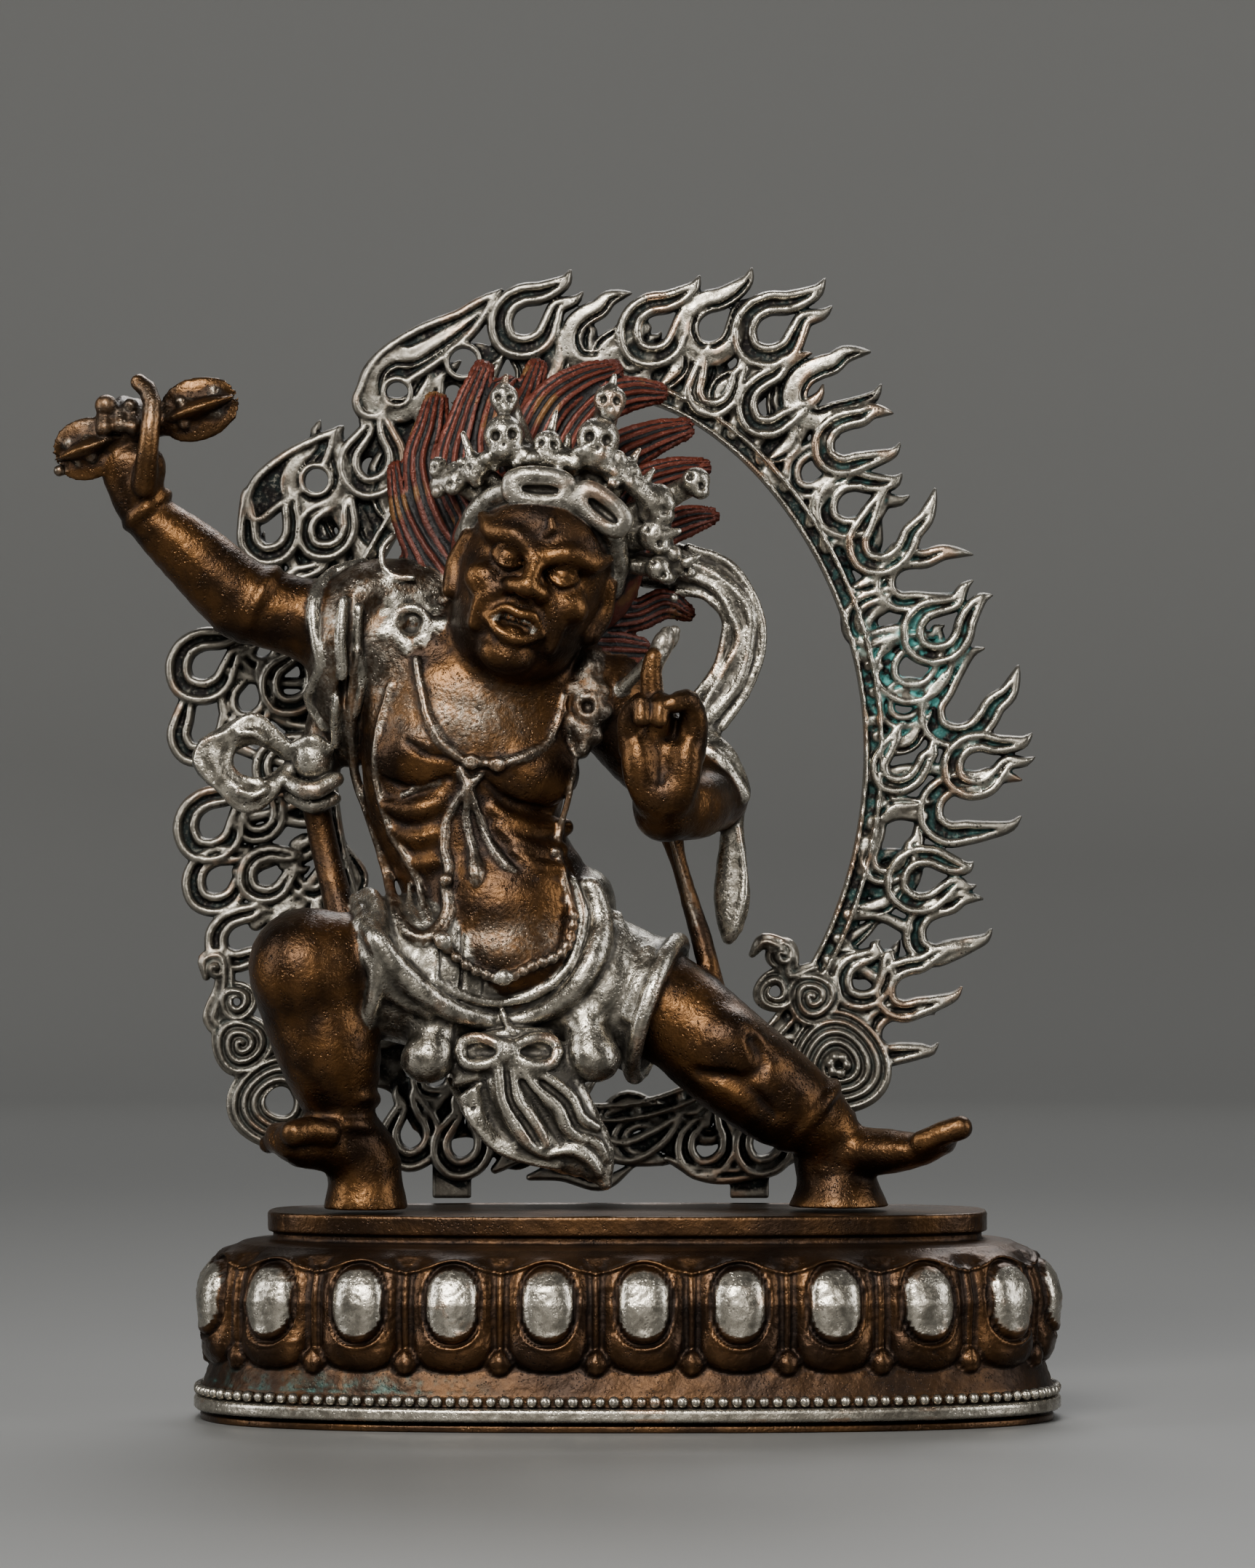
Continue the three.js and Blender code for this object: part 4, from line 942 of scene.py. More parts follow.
def makeHalo():
    front, back = halo["front"], halo["front"] + halo["thickness"]
    clay = startClay([-41.6, 8.2, 17], [37, 13, 100.8], halo["cell"])
    where, (x, y, z) = openAll(clay)
    turn, out = ringPlace(x, z)

    # The roots of the flames are a plate set back behind the ring and the curls. At the
    # sides it is only a narrow edge, and small bars hold the curls.
    broad = halo["rootReach"] + 4.4 * np.maximum(-np.cos(turn), 0) + 0.9 * np.sin(23 * turn)
    openSide = np.where(x < 0, smoothStep(76, 71, z), smoothStep(84, 78, z)) * smoothStep(31, 36, z)
    plate = np.maximum(1 - out, out - broad - openSide * (halo["openReach"] - broad))
    count = halo["drops"]
    drops = [[*ringPoint(t, halo["dropReach"]), t] for t in 2 * math.pi * (np.arange(count) + 0.5) / count]
    drops += [[*ringPoint(t, halo["dropReach"] + 3.9), t] for t in 2.5 + 0.2 * np.arange(3)]
    for i, (x0, z0, t) in enumerate(drops):
        c, s = math.cos(t - 0.5), math.sin(t - 0.5)
        along, across = (x - x0) * c + (z - z0) * s, (z - z0) * c - (x - x0) * s
        size = np.hypot(along / (1.9 + 0.3 * math.sin(4 * i)), across / 1.15)
        plate = np.maximum(plate, 1.1 - size * 1.1)
    for i in range(count):
        x0, z0 = ringPoint(2 * math.pi * i / count + 0.05, 4.4 + 0.5 * math.sin(3 * i))
        plate = np.maximum(plate, 0.75 - np.hypot(x - x0, z - z0))
    for x0, z0, *_ in outerCurls + leftCurls:
        plate = np.maximum(plate, 0.85 - np.hypot(x - x0, z - z0))
    face = front + 1.1 + 0.12 * ripple(x, 0 * x, z, 3.1)
    pressPlate(clay, where, y, plate, face, back)

    for x0, z0, *_, radius, side in outerCurls + leftCurls:
        t = math.atan2((z0 - halo["z"]) / halo["halfHeight"], (x0 - halo["x"]) / halo["halfWidth"])
        start, end = np.array(ringPoint(t + 0.04 * side, 1.2)), np.array([x0, z0])
        far = np.linalg.norm(end - start)
        bend = np.array([start[1] - end[1], end[0] - start[0]]) / far
        end = end + (start - end) * radius / far
        middle = (start + end) / 2 + 0.5 * bend
        stroke(clay, [[*start, 0.65, 0.35], [*middle, 0.5, 0.4], [*end, 0.65, 0.35]], front)

    # Leaves and small curls grow from the ring
    for i, (x0, z0, t) in enumerate(drops):
        lean = unit([0.6 * math.cos(t) + 0.5, 0.6 * math.sin(t) + 0.7])
        length = 4 + 0.5 * math.sin(5 * i)
        tip = x0 + length * lean[0], z0 + length * lean[1]
        side = (1 if i % 3 else -1) * (1 + i % 2)
        curl(clay, [x0, z0, *tip, 1.9 + 0.15 * math.sin(3 * i), side], front + 0.4 + 0.15 * (i % 3),
             rim=i % 3)
    for i in range(count):
        t = 2 * math.pi * i / count
        x0, z0 = ringPoint(t, 1.4)
        lean = unit([0.55 * math.cos(t) + 0.5, 0.55 * math.sin(t) + 0.7])
        side = np.array([-lean[1], lean[0]]) * (0.8 if i % 2 else -0.8)
        line = []
        for far, bend, width in ((0, 0, 0.35), (1.2, 0.8, 0.75), (2.8, 1.1, 0.9), (4.6, 0.2, 0.5),
                                 (6, -0.5, 0.04)):
            spot = np.array([x0, z0]) + far * lean + bend * side
            line.append([*spot, width, 0.25])
        stroke(clay, line, front, rim=1 if i % 2 else -1)

    # Two rims with a channel between them, crossed by small bars
    width = halo["ringWidth"]
    flat = np.abs(out - width / 2) - width / 2
    share = (turn * halo["bars"] / (2 * math.pi) + 0.6 * np.sin(5 * turn)) % 1
    bar = smoothStep(0.022, 0.01, np.abs(share - 0.5) * 0.16)
    channel = 0.75 * smoothStep(0.36, 0.52, -flat) * (1 - 0.5 * bar)
    pressPlate(clay, where, y, flat, front + channel + 0.04 * ripple(x, 0 * x, z, 1.9), back)

    # Two long flames on the left, then all the curls
    for line in (
        [[-22.4, 87.9, 1.8, 0.1], [-20.7, 90.6, 2.1, 0.1], [-17.6, 92.7, 2.1, 0.1], [-14.5, 94.6, 1.5, 0.1],
         [-12.5, 96.4, 0.9, 0.1], [-11, 97.8, 0.06, 0.1]],
        [[-32.4, 78.6, 1.5, 0.1], [-31.2, 80.2, 2, 0.1], [-28.9, 81.9, 2.1, 0.1], [-26.9, 83.8, 1.3, 0.1],
         [-25.2, 85.8, 0.06, 0.1]],
    ):
        stroke(clay, line, front)
    for x0, z0, size in ((-20.2, 88.7, 0.95), (-14.4, 91.4, 1.2), (-27.3, 81, 1.05)):
        where, (x, y, z) = openBlock(clay, [x0 - 4, -farOff, z0 - 4], [x0 + 4, farOff, z0 + 4])
        out = np.hypot(x - x0, z - z0)
        pressPlate(clay, where, y, np.abs(out - size - 0.25) - 0.25, front, back)
        carve(clay, where, np.broadcast_to(out - size, clay["field"][where].shape), 0.1)
    for i, row in enumerate(leftCurls + outerCurls):
        curl(clay, row, front + 0.22 * (i % 2), rim=1 if row[1] > 80 and i % 2 else 0)
    for line in (
        [[-11.6, 20.6, 0.4, 0.3], [-8.6, 22.6, 1.3, 0.3], [-5.6, 21.4, 1.1, 0.3], [-2.6, 23.4, 0.3, 0.3]],
        [[-8.6, 19.9, 0.3, 0.5], [-5.6, 20.4, 0.9, 0.5], [-2.2, 19.4, 0.7, 0.5], [0.6, 21, 0.2, 0.5]],
        [[-4.4, 24.4, 0.4, 0.2], [-0.6, 22.2, 1.2, 0.2], [2.6, 23.4, 1.1, 0.2], [5.2, 26, 0.3, 0.2]],
        [[14.6, 21.6, 0.4, 0.3], [10.8, 20.4, 0.8, 0.3], [7, 20.2, 0.8, 0.3], [3.4, 21.6, 0.3, 0.3]],
    ):
        stroke(clay, line, front)

    for row in clouds:
        cloudBoss(clay, *row)
    stroke(clay, [[-36.9, 37.4, 0.3, -0.4], [-37, 39, 0.6, -0.4], [-35.5, 39.2, 0.7, -0.4],
                  [-35.3, 36.6, 0.9, -0.4], [-36.2, 33.8, 1.0, -0.2], [-34.6, 32.6, 0.8, 0]], front,
                  lines=2)
    stroke(clay, [[10.9, 39.4, 0.3, -0.5], [12, 40.6, 0.7, -0.6], [13.9, 39.6, 0.9, -0.6],
                  [14.2, 37.6, 0.9, -0.5], [16.2, 38.2, 0.6, -0.3]], front, lines=2)
    for i in range(6):
        spot = [18.4 + 0.75 * math.cos(i), front - 0.9, 29.8 + 0.75 * math.sin(i)]
        lump(clay, spot, [0.42, 0.5, 0.42], silverKind, 0.1)
    for x0 in (-15.4, 10.7):
        where, (x, y, z) = openBlock(clay, [x0 - 4, -farOff, 15], [x0 + 4, farOff, 24])
        flat = np.maximum(np.abs(x - x0) - 1.7, np.maximum(18.05 - z, z - 21.4))
        pressPlate(clay, where, y, flat, front + 1.05, back - 0.1)

    piece = fireClay("halo_of_flames", clay, haloMetal, halo["triangles"])
    x, y, z = pointsOf(piece.data).T
    damp = 0.85 * softSpot(x, z, 25, 63.5, 4, 4.5)
    damp += 0.1 * smoothStep(12, 22, x) * smoothStep(34, 44, z) + 0.02
    paintPoints(piece.data, "green", np.clip(damp, 0, 1))
    # Parts set back behind the front are painted dark as painted shade in the recesses; the foot, the lower
    # left and the clouds are painted darker as well.
    sunk = smoothStep(front + 0.26, front + 0.58, y) * smoothStep(back - 0.15, back - 0.3, y)
    foot = 0.8 * smoothStep(31, 26, z)
    sunk = np.maximum(sunk, foot + 0.55 * smoothStep(8, -16, x) * smoothStep(30, 40, z))
    for x0, z0, wide in ((17.4, 31.5, 5.5), (13.6, 38, 3), (-33, 30.5, 6), (-35.5, 37, 3)):
        sunk = np.maximum(sunk, 0.8 * softSpot(x, z, x0, z0, wide, wide, 4))
    paintPoints(piece.data, "sootAndShade", sunk)
    return piece


haloPiece = makeHalo()
print("halo made")


# Figure, cast in one piece with the sceptre, crown, scarf and jewels. Stations are
# [x, y, z, half width, half depth], and rows laid on the front are [x, z, half width].

figure = {
    "floor": 18.0,
    "cell": 0.18,
    "headAt": (-8.1, -4.2, 71.6),
    "headTurn": 0.33,
    "sceptreAt": (-41.5, -2.8, 84.5),
    "sceptreRise": 0.34,
    "unevenness": 0.07,
    "triangles": 194000,
}


def onHead(x, y, z):
    c, s = math.cos(figure["headTurn"]), math.sin(figure["headTurn"])
    middle = figure["headAt"]
    return [middle[0] + x * c + z * s, middle[1] + y, middle[2] - x * s + z * c]


def headLump(clay, place, radii, kind=copperKind, soft=0.5, **more):
    lump(clay, onHead(*place), radii, kind, soft, turn=figure["headTurn"] + more.pop("lean", 0), **more)


def headStrand(clay, rows, kind=copperKind, soft=0.4, **more):
    strand(clay, [[*onHead(*row[:3]), *row[3:]] for row in rows], kind, soft, pace=0.8, **more)


def modelPad(clay, x0, y0, top, low, high):
    where, (x, y, z) = openBlock(clay, [x0 - 7, y0 - 7, 15], [x0 + 7, y0 + 7, top + 2])
    share = (z - figure["floor"]) / (top - figure["floor"])
    out = np.hypot(x - x0, y - y0) - (low + (high - low) * np.clip(share, 0, 1))
    press(clay, where, np.maximum(out, z - top).astype(np.float32), copperKind, 0.9)


def modelTorso(clay):
    strand(clay, [
        [-10.6, 0, 36.5, 8.6, 6], [-10.6, -0.6, 40, 8.4, 6.2], [-10.6, -1.6, 43.5, 7.9, 6.3],
        [-12.6, -1, 48, 7.4, 5.4], [-14, -0.6, 53, 8.4, 5.4], [-13.6, -0.8, 59, 9.4, 5.8],
        [-12.6, 0, 63.4, 9.8, 5], [-10.8, -1.6, 66.5, 4.6, 4.4],
    ])
    for place, radii in (
        ((-10.6, -4.2, 43.4), (5.8, 3.8, 5)),
        ((-10.4, -3.5, 39.4), (6.8, 4.6, 4.6)),
        ((-17.6, -3.9, 56.8), (4, 2.7, 3)),
        ((-8.4, -3.7, 55.2), (4.3, 2.8, 3.3)),
        ((-12.6, -3.4, 62.6), (7, 2.6, 3.4)),
    ):
        lump(clay, place, radii, soft=1.4)
    # Rolls of flesh under the chest
    for line in (
        [[-20.6, 52.4, 0.5], [-18.4, 51.9, 0.9], [-16, 52.6, 0.6]],
        [[-20, 50.2, 0.4], [-18.2, 49.6, 0.7], [-15.8, 50, 0.4]],
        [[-19, 47.7, 0.4], [-17.4, 47.3, 0.6], [-15.6, 47.8, 0.3]],
        [[-11.4, 52, 0.5], [-8.6, 50.3, 1], [-5.4, 50.5, 0.8]],
        [[-11, 50.4, 0.4], [-8.2, 48.5, 0.9], [-5.6, 48.6, 0.6]],
        [[-9.6, 48.4, 0.3], [-7.6, 47, 0.6], [-5.6, 47, 0.4]],
    ):
        layLine(clay, line, copperKind, soft=0.7, lift=-0.1)
    # Creases under the chest muscles and at the left breast
    for line in (
        [[-20.8, 54.6, 0.3], [-18, 53.6, 0.45], [-15.2, 54.6, 0.3]],
        [[-12.2, 54.4, 0.2], [-10, 52.6, 0.45], [-6.4, 52, 0.4], [-4.9, 53.4, 0.2]],
        [[-18.9, 57.9, 0.16], [-17, 56.6, 0.26], [-15.4, 56.4, 0.16]],
    ):
        layLine(clay, line, copperKind, soft=0.4, lift=0, cutting=True)


def modelLegs(clay):
    strand(clay, [[-15, -0.6, 38, 6, 5.6], [-22, -4, 38.6, 5.2, 4.8], [-27.3, -6.4, 38.2, 4.6, 4.6]],
           facing=(0, 0, 1))
    strand(clay, [
        [-27.3, -5.8, 39, 4.6], [-26.4, -5.6, 35, 4.7], [-25.2, -5.4, 31, 4.3], [-24.3, -5.2, 26, 2.8],
        [-22.6, -4, 22.4, 3, 3.2],
    ], soft=1.2)
    lump(clay, (-27.8, -8.4, 38.2), (3.2, 2.6, 3.4), soft=1.5)
    lump(clay, (-25.6, -7, 31.8), (3.3, 3, 4.2), soft=1.5)
    for height, radius in ((27.6, 3.15), (25.1, 3.05)):
        ring(clay, (-24.4, -5.2, height), (0.1, 0.1, 1), radius - 0.35, 0.62, copperKind, 0.5)
    strand(clay, [
        [-22.6, -4, 22.4, 2.6, 2.6], [-25, -5.6, 23.4, 2.3, 2.7], [-27.7, -7.3, 23.6, 1.9, 2.7],
        [-29.2, -8.3, 24, 1.2, 2.4],
    ], facing=(0.5, 1, 0), soft=1)
    for i in range(5):
        x, y, z = -30.3 + 0.62 * i, -6.3 - 1.02 * i, 23.5 + 0.28 * i
        size = 0.78 + 0.1 * i
        toe = [[x + 2.4, y + 1.6, z, size], [x + 0.9, y + 0.5, z + 0.3, size]]
        strand(clay, [*toe, [x - 0.2, y - 0.2, z + 0.1, size]], soft=0.35)
    modelPad(clay, -22.3, -4, 22, 3.6, 2.8)

    strand(clay, [
        [-5.5, 0, 37.6, 6.4, 5.6], [2.6, -1.8, 35.4, 4.7], [9, -3, 30.4, 4.5], [13.2, -2.4, 27.2, 4.1],
        [16.6, -1.4, 24.8, 3.1], [17.3, -0.4, 21.6, 2.7],
    ])
    lump(clay, (8.4, -5.6, 32.2), (3, 2.3, 2.6), soft=1.2)
    lump(clay, (11.4, -3.6, 27), (3.4, 2.6, 2.1), soft=1.2, turn=0.9)
    for line in ([[6, 29.6, 0.3], [9.4, 28.9, 0.5], [12.4, 26, 0.3]],
                 [[10.6, 32.4, 0.3], [11.4, 30.4, 0.4], [10.4, 29.2, 0.3]]):
        layLine(clay, line, copperKind, soft=0.9, lift=0, cutting=True)
    ring(clay, (15.4, -1.9, 26), (0.72, 0.1, -0.68), 3.3, 0.62, copperKind, 0.4)
    strand(clay, [
        [17, -0.4, 21.8, 2.5, 2.4], [19.4, -1.4, 22.6, 2.2, 2.5], [22.4, -2.8, 22.8, 1.9, 2.5],
        [25, -3.8, 23, 1.4, 2.3], [27, -4.4, 23.7, 1.0, 1.9],
    ], soft=1)
    for i in range(5):
        x, y, z = 27.4 + 0.16 * i, -2.6 - 0.92 * i, 24 + 0.17 * i
        size = 0.68 + 0.09 * i
        toe = [[x - 3, y + 0.6, z - 1, size], [x - 1, y, z - 0.1, size]]
        strand(clay, [*toe, [x + 0.2, y - 0.1, z + 0.3, size]], soft=0.35)
    modelPad(clay, 18.1, -0.4, 21, 4.3, 3)


def modelArms(clay):
    strand(clay, [
        [-17, 0, 63.6, 5.4, 4.4], [-23, 0, 67, 4.8, 4.2], [-28, -0.2, 68.5, 3.5], [-33, -0.6, 70.2, 3.4],
        [-37.4, -1.3, 74, 2.9], [-41, -1.9, 77.2, 2.2], [-42.2, -2.3, 79.4, 2.2, 1.8],
        [-42.8, -2.6, 81.8, 2.5, 1.6],
    ], soft=1.2)
    lump(clay, (-33.2, -1.4, 68.6), (2.4, 2, 1.8), soft=1)
    ring(clay, (-31.7, -0.6, 69.7), (-1, 0, 0.52), 3.15, 0.55, copperKind, 0.5)
    ring(clay, (-41.1, -1.9, 77.7), (-0.7, 0, 0.85), 2.1, 0.5, copperKind, 0.35)
    # Thumb root, raised first finger and the closed fingers round the grip
    lump(clay, (-41, -3.4, 80.6), (1.5, 1.4, 2.4), soft=0.8, turn=0.25)
    strand(clay, [
        [-41.2, -4.2, 79.6, 1.1], [-40.9, -5.4, 82, 0.95], [-40.6, -5.7, 84.4, 0.82],
        [-40.5, -5.1, 86.6, 0.8], [-40.9, -4.4, 87.8, 0.78], [-41.7, -3.9, 88.5, 0.74],
    ], soft=0.3)
    for x, z in ((-44.6, 85.2), (-43.2, 85.4), (-42.2, 85.2)):
        strand(clay, [
            [x + 0.9, -1.2, 82.2, 1], [x + 0.2, 0.4, 84.6, 0.95], [x + 0.1, -1, z + 1.2, 0.9],
            [x, -3, z + 0.9, 0.8], [x, -4.4, z - 0.6, 0.75],
        ], soft=0.3, facing=(1, 0, 0))
    for x, z, size in ((-44.5, 86.5, 0.98), (-42.4, 86.5, 0.66), (-43.6, 86, 0.5)):
        lump(clay, (x, -3.9, z), [size] * 3, soft=0.15)

    strand(clay, [[-8, 0, 60.6, 4.6], [-2.4, 0.4, 61.6, 4.2], [2.4, 1, 56.6, 3.7], [7, 1.4, 53.6, 3.3]],
           soft=1.2)
    strand(clay, [[7, 1.4, 53.4, 3.1], [5.4, -3, 52.4, 3], [3.1, -6.4, 52, 2.5]], facing=(0, 0, 1), soft=1)
    # Hand, seen from its palm
    strand(clay, [
        [3.1, -6.4, 51.4, 2.2, 2], [3, -7.4, 53.6, 2.7, 1.9], [3, -7.9, 56.4, 3, 1.5],
        [3, -8, 58.8, 2.9, 1.1],
    ], soft=0.8)
    lump(clay, (1, -9, 55.6), (1.5, 1.4, 3), soft=0.9, turn=-0.1)
    lump(clay, (4.9, -8.9, 55.4), (1.4, 1.35, 3.2), soft=0.9, turn=0.1)
    lump(clay, (3, -8.7, 53), (2.3, 1.5, 1.8), soft=1)
    strand(clay, [[2.7, -10, 57.4, 0.2], [2.9, -9.9, 55.9, 0.26], [2.8, -9.9, 54.4, 0.14]], soft=0.5,
           cutting=True)
    lump(clay, (3.5, -10.1, 58.9), (1.8, 1.7, 1.35), soft=0.5, cutting=True)
    strand(clay, [[1.9, -8, 58.4, 1.2], [2.1, -8.3, 61.4, 1.05], [2, -8.6, 63.4, 0.9],
                  [2.2, -8.8, 64.9, 0.72]], soft=0.5)
    strand(clay, [[2.3, -8.2, 64.4, 0.8], [3.1, -8, 66.3, 0.9], [3.5, -7.9, 67.2, 0.4]],
           silverKind, 0.4, pace=0.6)
    for rows in (
        [[0.5, -8.2, 57.2, 1.3], [0.3, -9, 59.6, 1.15], [1.1, -10.3, 60.8, 0.9], [1.2, -10.9, 59.6, 0.78]],
        [[2.8, -8.2, 58.8, 1.1], [2.9, -9.1, 60.8, 1], [2.8, -10.4, 60.7, 0.85], [2.7, -10.9, 59.5, 0.76]],
        [[5.3, -8.2, 56.8, 1.35], [5.6, -8.8, 59.6, 1.2], [5, -9.8, 61.1, 1], [3.9, -10.5, 60.9, 0.85]],
    ):
        strand(clay, rows, soft=0.35, pace=0.8, facing=(1, 0, 0))


def modelSceptre(clay):
    # Two ribbed buds on a short grip.
    rise = figure["sceptreRise"]
    axis = np.array([math.cos(rise), -0.06, math.sin(rise)])
    middle = np.array(figure["sceptreAt"])

    def along(t):
        return list(middle + t * axis)

    strand(clay, [[*along(-4), 1.1], [*along(4), 1.1]], soft=0.3)
    for side, tip in ((-1, 7.05), (1, 7.8)):
        for t, size in ((2.2, 1.2), (2.8, 1.6), (3.4, 1.3)):
            ring(clay, along(side * t), axis, 0.7 * size, 0.42, copperKind, 0.3)
        rows = [[3.1, 1.4], [3.9, 2.4], [4.9, 2.85], [tip - 1.5, 2.5], [tip - 0.7, 1.5], [tip - 0.2, 0.7]]
        bud = [[*along(side * t), size] for t, size in rows]
        strand(clay, bud, soft=0.3, pace=0.4, ridges=5, depth=1.25, sharp=0.6)
        lump(clay, along(side * (tip - 0.2)), (0.6, 0.6, 0.6), soft=0.4)
        for i in range(7):
            t = 3.6 + 0.6 * i
            aside = [0.3 * math.sin(5 * i), -1.5 + 0.16 * i, 1.1 * math.cos(2.6 * i)]
            lump(clay, np.array(along(side * t)) + aside, (0.5, 0.55, 0.5), washKind, 0.3)


def modelSkirt(clay):
    # The skirt parts over both thighs and ends in rolled hems.
    strand(clay, [
        [-10.6, 0, 38, 9, 6.2], [-16, -2.4, 38.2, 7.2, 6.4], [-20.8, -3.4, 38.5, 6, 5.7],
        [-22.6, -3.9, 38.7, 6.4, 6.2],
    ], silverKind, soft=0.8, cap=0.7)
    strand(clay, [
        [-10.6, 0, 38, 9, 6.2], [-4, -0.8, 36.8, 7, 6.2], [0.6, -1.3, 35.6, 5.9, 5.6],
        [2.4, -1.6, 35, 6.2, 6.1],
    ], silverKind, soft=0.8, cap=0.7)
    ring(clay, (2.5, -1.6, 35), (0.94, -0.16, -0.31), 6.1, 0.72, silverKind, 0.6)
    ring(clay, (-22.7, -3.9, 38.7), (-0.96, -0.27, 0.1), 6.1, 0.6, silverKind, 0.6)
    lump(clay, (-10.8, 1.2, 38), (8.4, 5.9, 5.8), silverKind, 1)
    strand(clay, [[-14.4, 0, 38, 6.4, 6.2], [-20.6, -2.6, 38.5, 5.8, 5.6]], silverKind, 0.8, cap=0.7)
    for x, lean in ((-14.6, -0.25), (-11.2, 0), (-7.4, 0.3)):
        fold = [[x, 6.3, 43.4, 0.4], [x + lean, 7, 39, 0.6], [x + 3 * lean, 6, 34, 0.5]]
        strand(clay, fold, silverKind, 0.8)
    lump(clay, (-3.4, 0, 44), (2.4, 4.4, 3), silverKind, 1)
    lump(clay, (-10.5, -3.5, 39.8), (7, 5.1, 4.9), copperKind, 0.2)
    for line, depth in (
        ([[-22.6, 42.4, 0.6], [-21.3, 39.2, 0.9], [-19.5, 36.6, 0.9], [-16.8, 34.9, 0.6]], 0.5),
        ([[-0.9, 43, 0.5], [-1.1, 40.2, 0.9], [-1.6, 37.2, 0.9], [-3.1, 34.1, 0.5]], 0.35),
        ([[1.8, 40.2, 0.4], [1.2, 37.4, 0.7], [0, 34.4, 0.4]], 0.3),
    ):
        layLine(clay, [[*row, min(depth, row[2])] for row in line], soft=0.7, lift=0)
    # Belt roll with a thinner one inside it on the right, a bead girdle above
    layLine(clay, [
        [-23.1, 44.3, 0.7], [-21.6, 41.6, 0.95], [-19.4, 38.6, 1.05], [-16.4, 35.9, 1], [-13.6, 34.5, 0.85],
        [-10.6, 34, 0.8], [-7.4, 34.7, 0.85], [-4.6, 36.7, 1], [-2.7, 39.8, 1.1], [-2.3, 42.6, 1.1],
        [-3.1, 45.4, 0.9],
    ], soft=0.5, lift=0.35)
    layLine(clay, [[-16.4, 37.6, 0.3], [-13.6, 36.1, 0.4], [-10.8, 35.6, 0.4], [-7.6, 36.5, 0.5],
                   [-5.2, 38.4, 0.5],
                   [-4.1, 41, 0.5], [-3.9, 43.4, 0.45], [-4.6, 46, 0.3]], soft=0.25, lift=0.35)
    belt = [[-15.9, 41.2], [-15.2, 40.2], [-13.6, 38.8], [-11.9, 38], [-10.4, 37.7], [-8.8, 38.4],
            [-7.2, 39.1], [-5.6, 39.8], [-4.8, 41.2], [-4.6, 43]]
    layLine(clay, [[*row, 0.34] for row in belt], washKind, soft=0.25, lift=0.2)
    layBeads(clay, belt, 0.5, 1.15, washKind)
    for x, z in ((-15.6, 40.9), (-10.5, 37.8)):
        lump(clay, (x, frontOf(clay, x, z, -7) + 0.15, z), (0.75, 0.5, 0.75), silverKind, 0.15)
    # Rounded flap ends, a bow and an apron that swings to the right
    for x, z, lean in ((-16.9, 30.9, -0.3), (-2.9, 31, 0.3)):
        lump(clay, (x, -7, z), (2.3, 2, 2), silverKind, 0.9, turn=lean)
        flap = [[x - 5 * lean, -5, z + 5, 1.4], [x - 2 * lean, -6.2, z + 2.2, 1.7], [x, -6.8, z, 1.8]]
        strand(clay, flap, silverKind, 1)
    strand(clay, [
        [-10.4, -6.4, 32.6, 4.2, 1.9], [-9.9, -7.2, 29.8, 5.1, 1.6], [-8, -7.3, 27, 5, 1.5],
        [-5.4, -7, 24.6, 3.7, 1.4], [-3, -6.7, 22.4, 2.2, 1.1], [-1.9, -6.5, 20.3, 0.6, 0.7],
    ], silverKind, 0.5, cap=0.6)
    for line in (
        [[-15.2, 28.9, 0.3], [-13.4, 26.2, 0.45], [-12.3, 24.6, 0.45], [-10.8, 23.2, 0.45],
         [-8.4, 22.3, 0.4], [-6, 21.8, 0.35]],
        [[-10.9, 30.2, 0.5], [-10.5, 27.4, 0.55], [-9.2, 25, 0.65], [-8.1, 23.6, 0.6], [-6.8, 22.7, 0.35]],
        [[-9.7, 30.2, 0.4], [-9.3, 27.6, 0.45], [-7.8, 25.5, 0.55], [-6.9, 23.7, 0.35]],
        [[-9.1, 30.2, 0.4], [-7.7, 28.4, 0.5], [-5.8, 26.6, 0.65], [-5.1, 25, 0.6], [-3.7, 24, 0.35]],
        [[-8.4, 30.2, 0.35], [-6.2, 28.9, 0.45], [-4.7, 27.6, 0.5], [-4, 25.9, 0.6], [-2.6, 25.1, 0.4]],
        [[-6.2, 22.9, 0.3], [-4.6, 23.2, 0.5], [-3.2, 22.4, 0.55], [-2.4, 21.2, 0.35]],
        [[-3.4, 24.2, 0.3], [-2.4, 23.6, 0.45], [-1.8, 22.4, 0.3]],
    ):
        layLine(clay, line, soft=0.45, lift=0.2)
    for line in (
        [[-12.2, 29.6, 0.3], [-12, 27.4, 0.6], [-11.2, 25.4, 0.7], [-10, 24, 0.4]],
        [[-10.2, 29.6, 0.15], [-9.9, 27.4, 0.22], [-8.5, 25.2, 0.26], [-7.5, 23.6, 0.2]],
        [[-8.8, 28.9, 0.2], [-7.4, 26.8, 0.36], [-6.3, 25, 0.36], [-5.6, 23.8, 0.2]],
        [[-7.2, 28.9, 0.15], [-5.4, 27.4, 0.26], [-4.6, 25.8, 0.26], [-4, 24.9, 0.15]],
    ):
        layLine(clay, line, soft=0.35, lift=0, cutting=True)
    for side, x in ((-1, -12.3), (1, -7.8)):
        loop = []
        for i in range(13):
            t = i * math.pi / 6
            swell = 1 + 0.3 * side * math.cos(t)
            loop.append([x + 1.9 * math.cos(t), 31.5 + 1.15 * math.sin(t) * swell, 0.5])
        layLine(clay, loop, soft=0.3, lift=0.45)
        spot = x, frontOf(clay, x, 31.5, -8), 31.5
        lump(clay, spot, (1.2, 0.5, 0.5), soft=0.3, cutting=True)
    lump(clay, (-10.2, -8.8, 31.6), (0.8, 0.8, 1.1), silverKind, 0.3)
    layLine(clay, [[-10.6, 34.8, 0.3], [-10.2, 33.8, 0.3], [-9.6, 33.2, 0.35]], soft=0.2, lift=0.6)


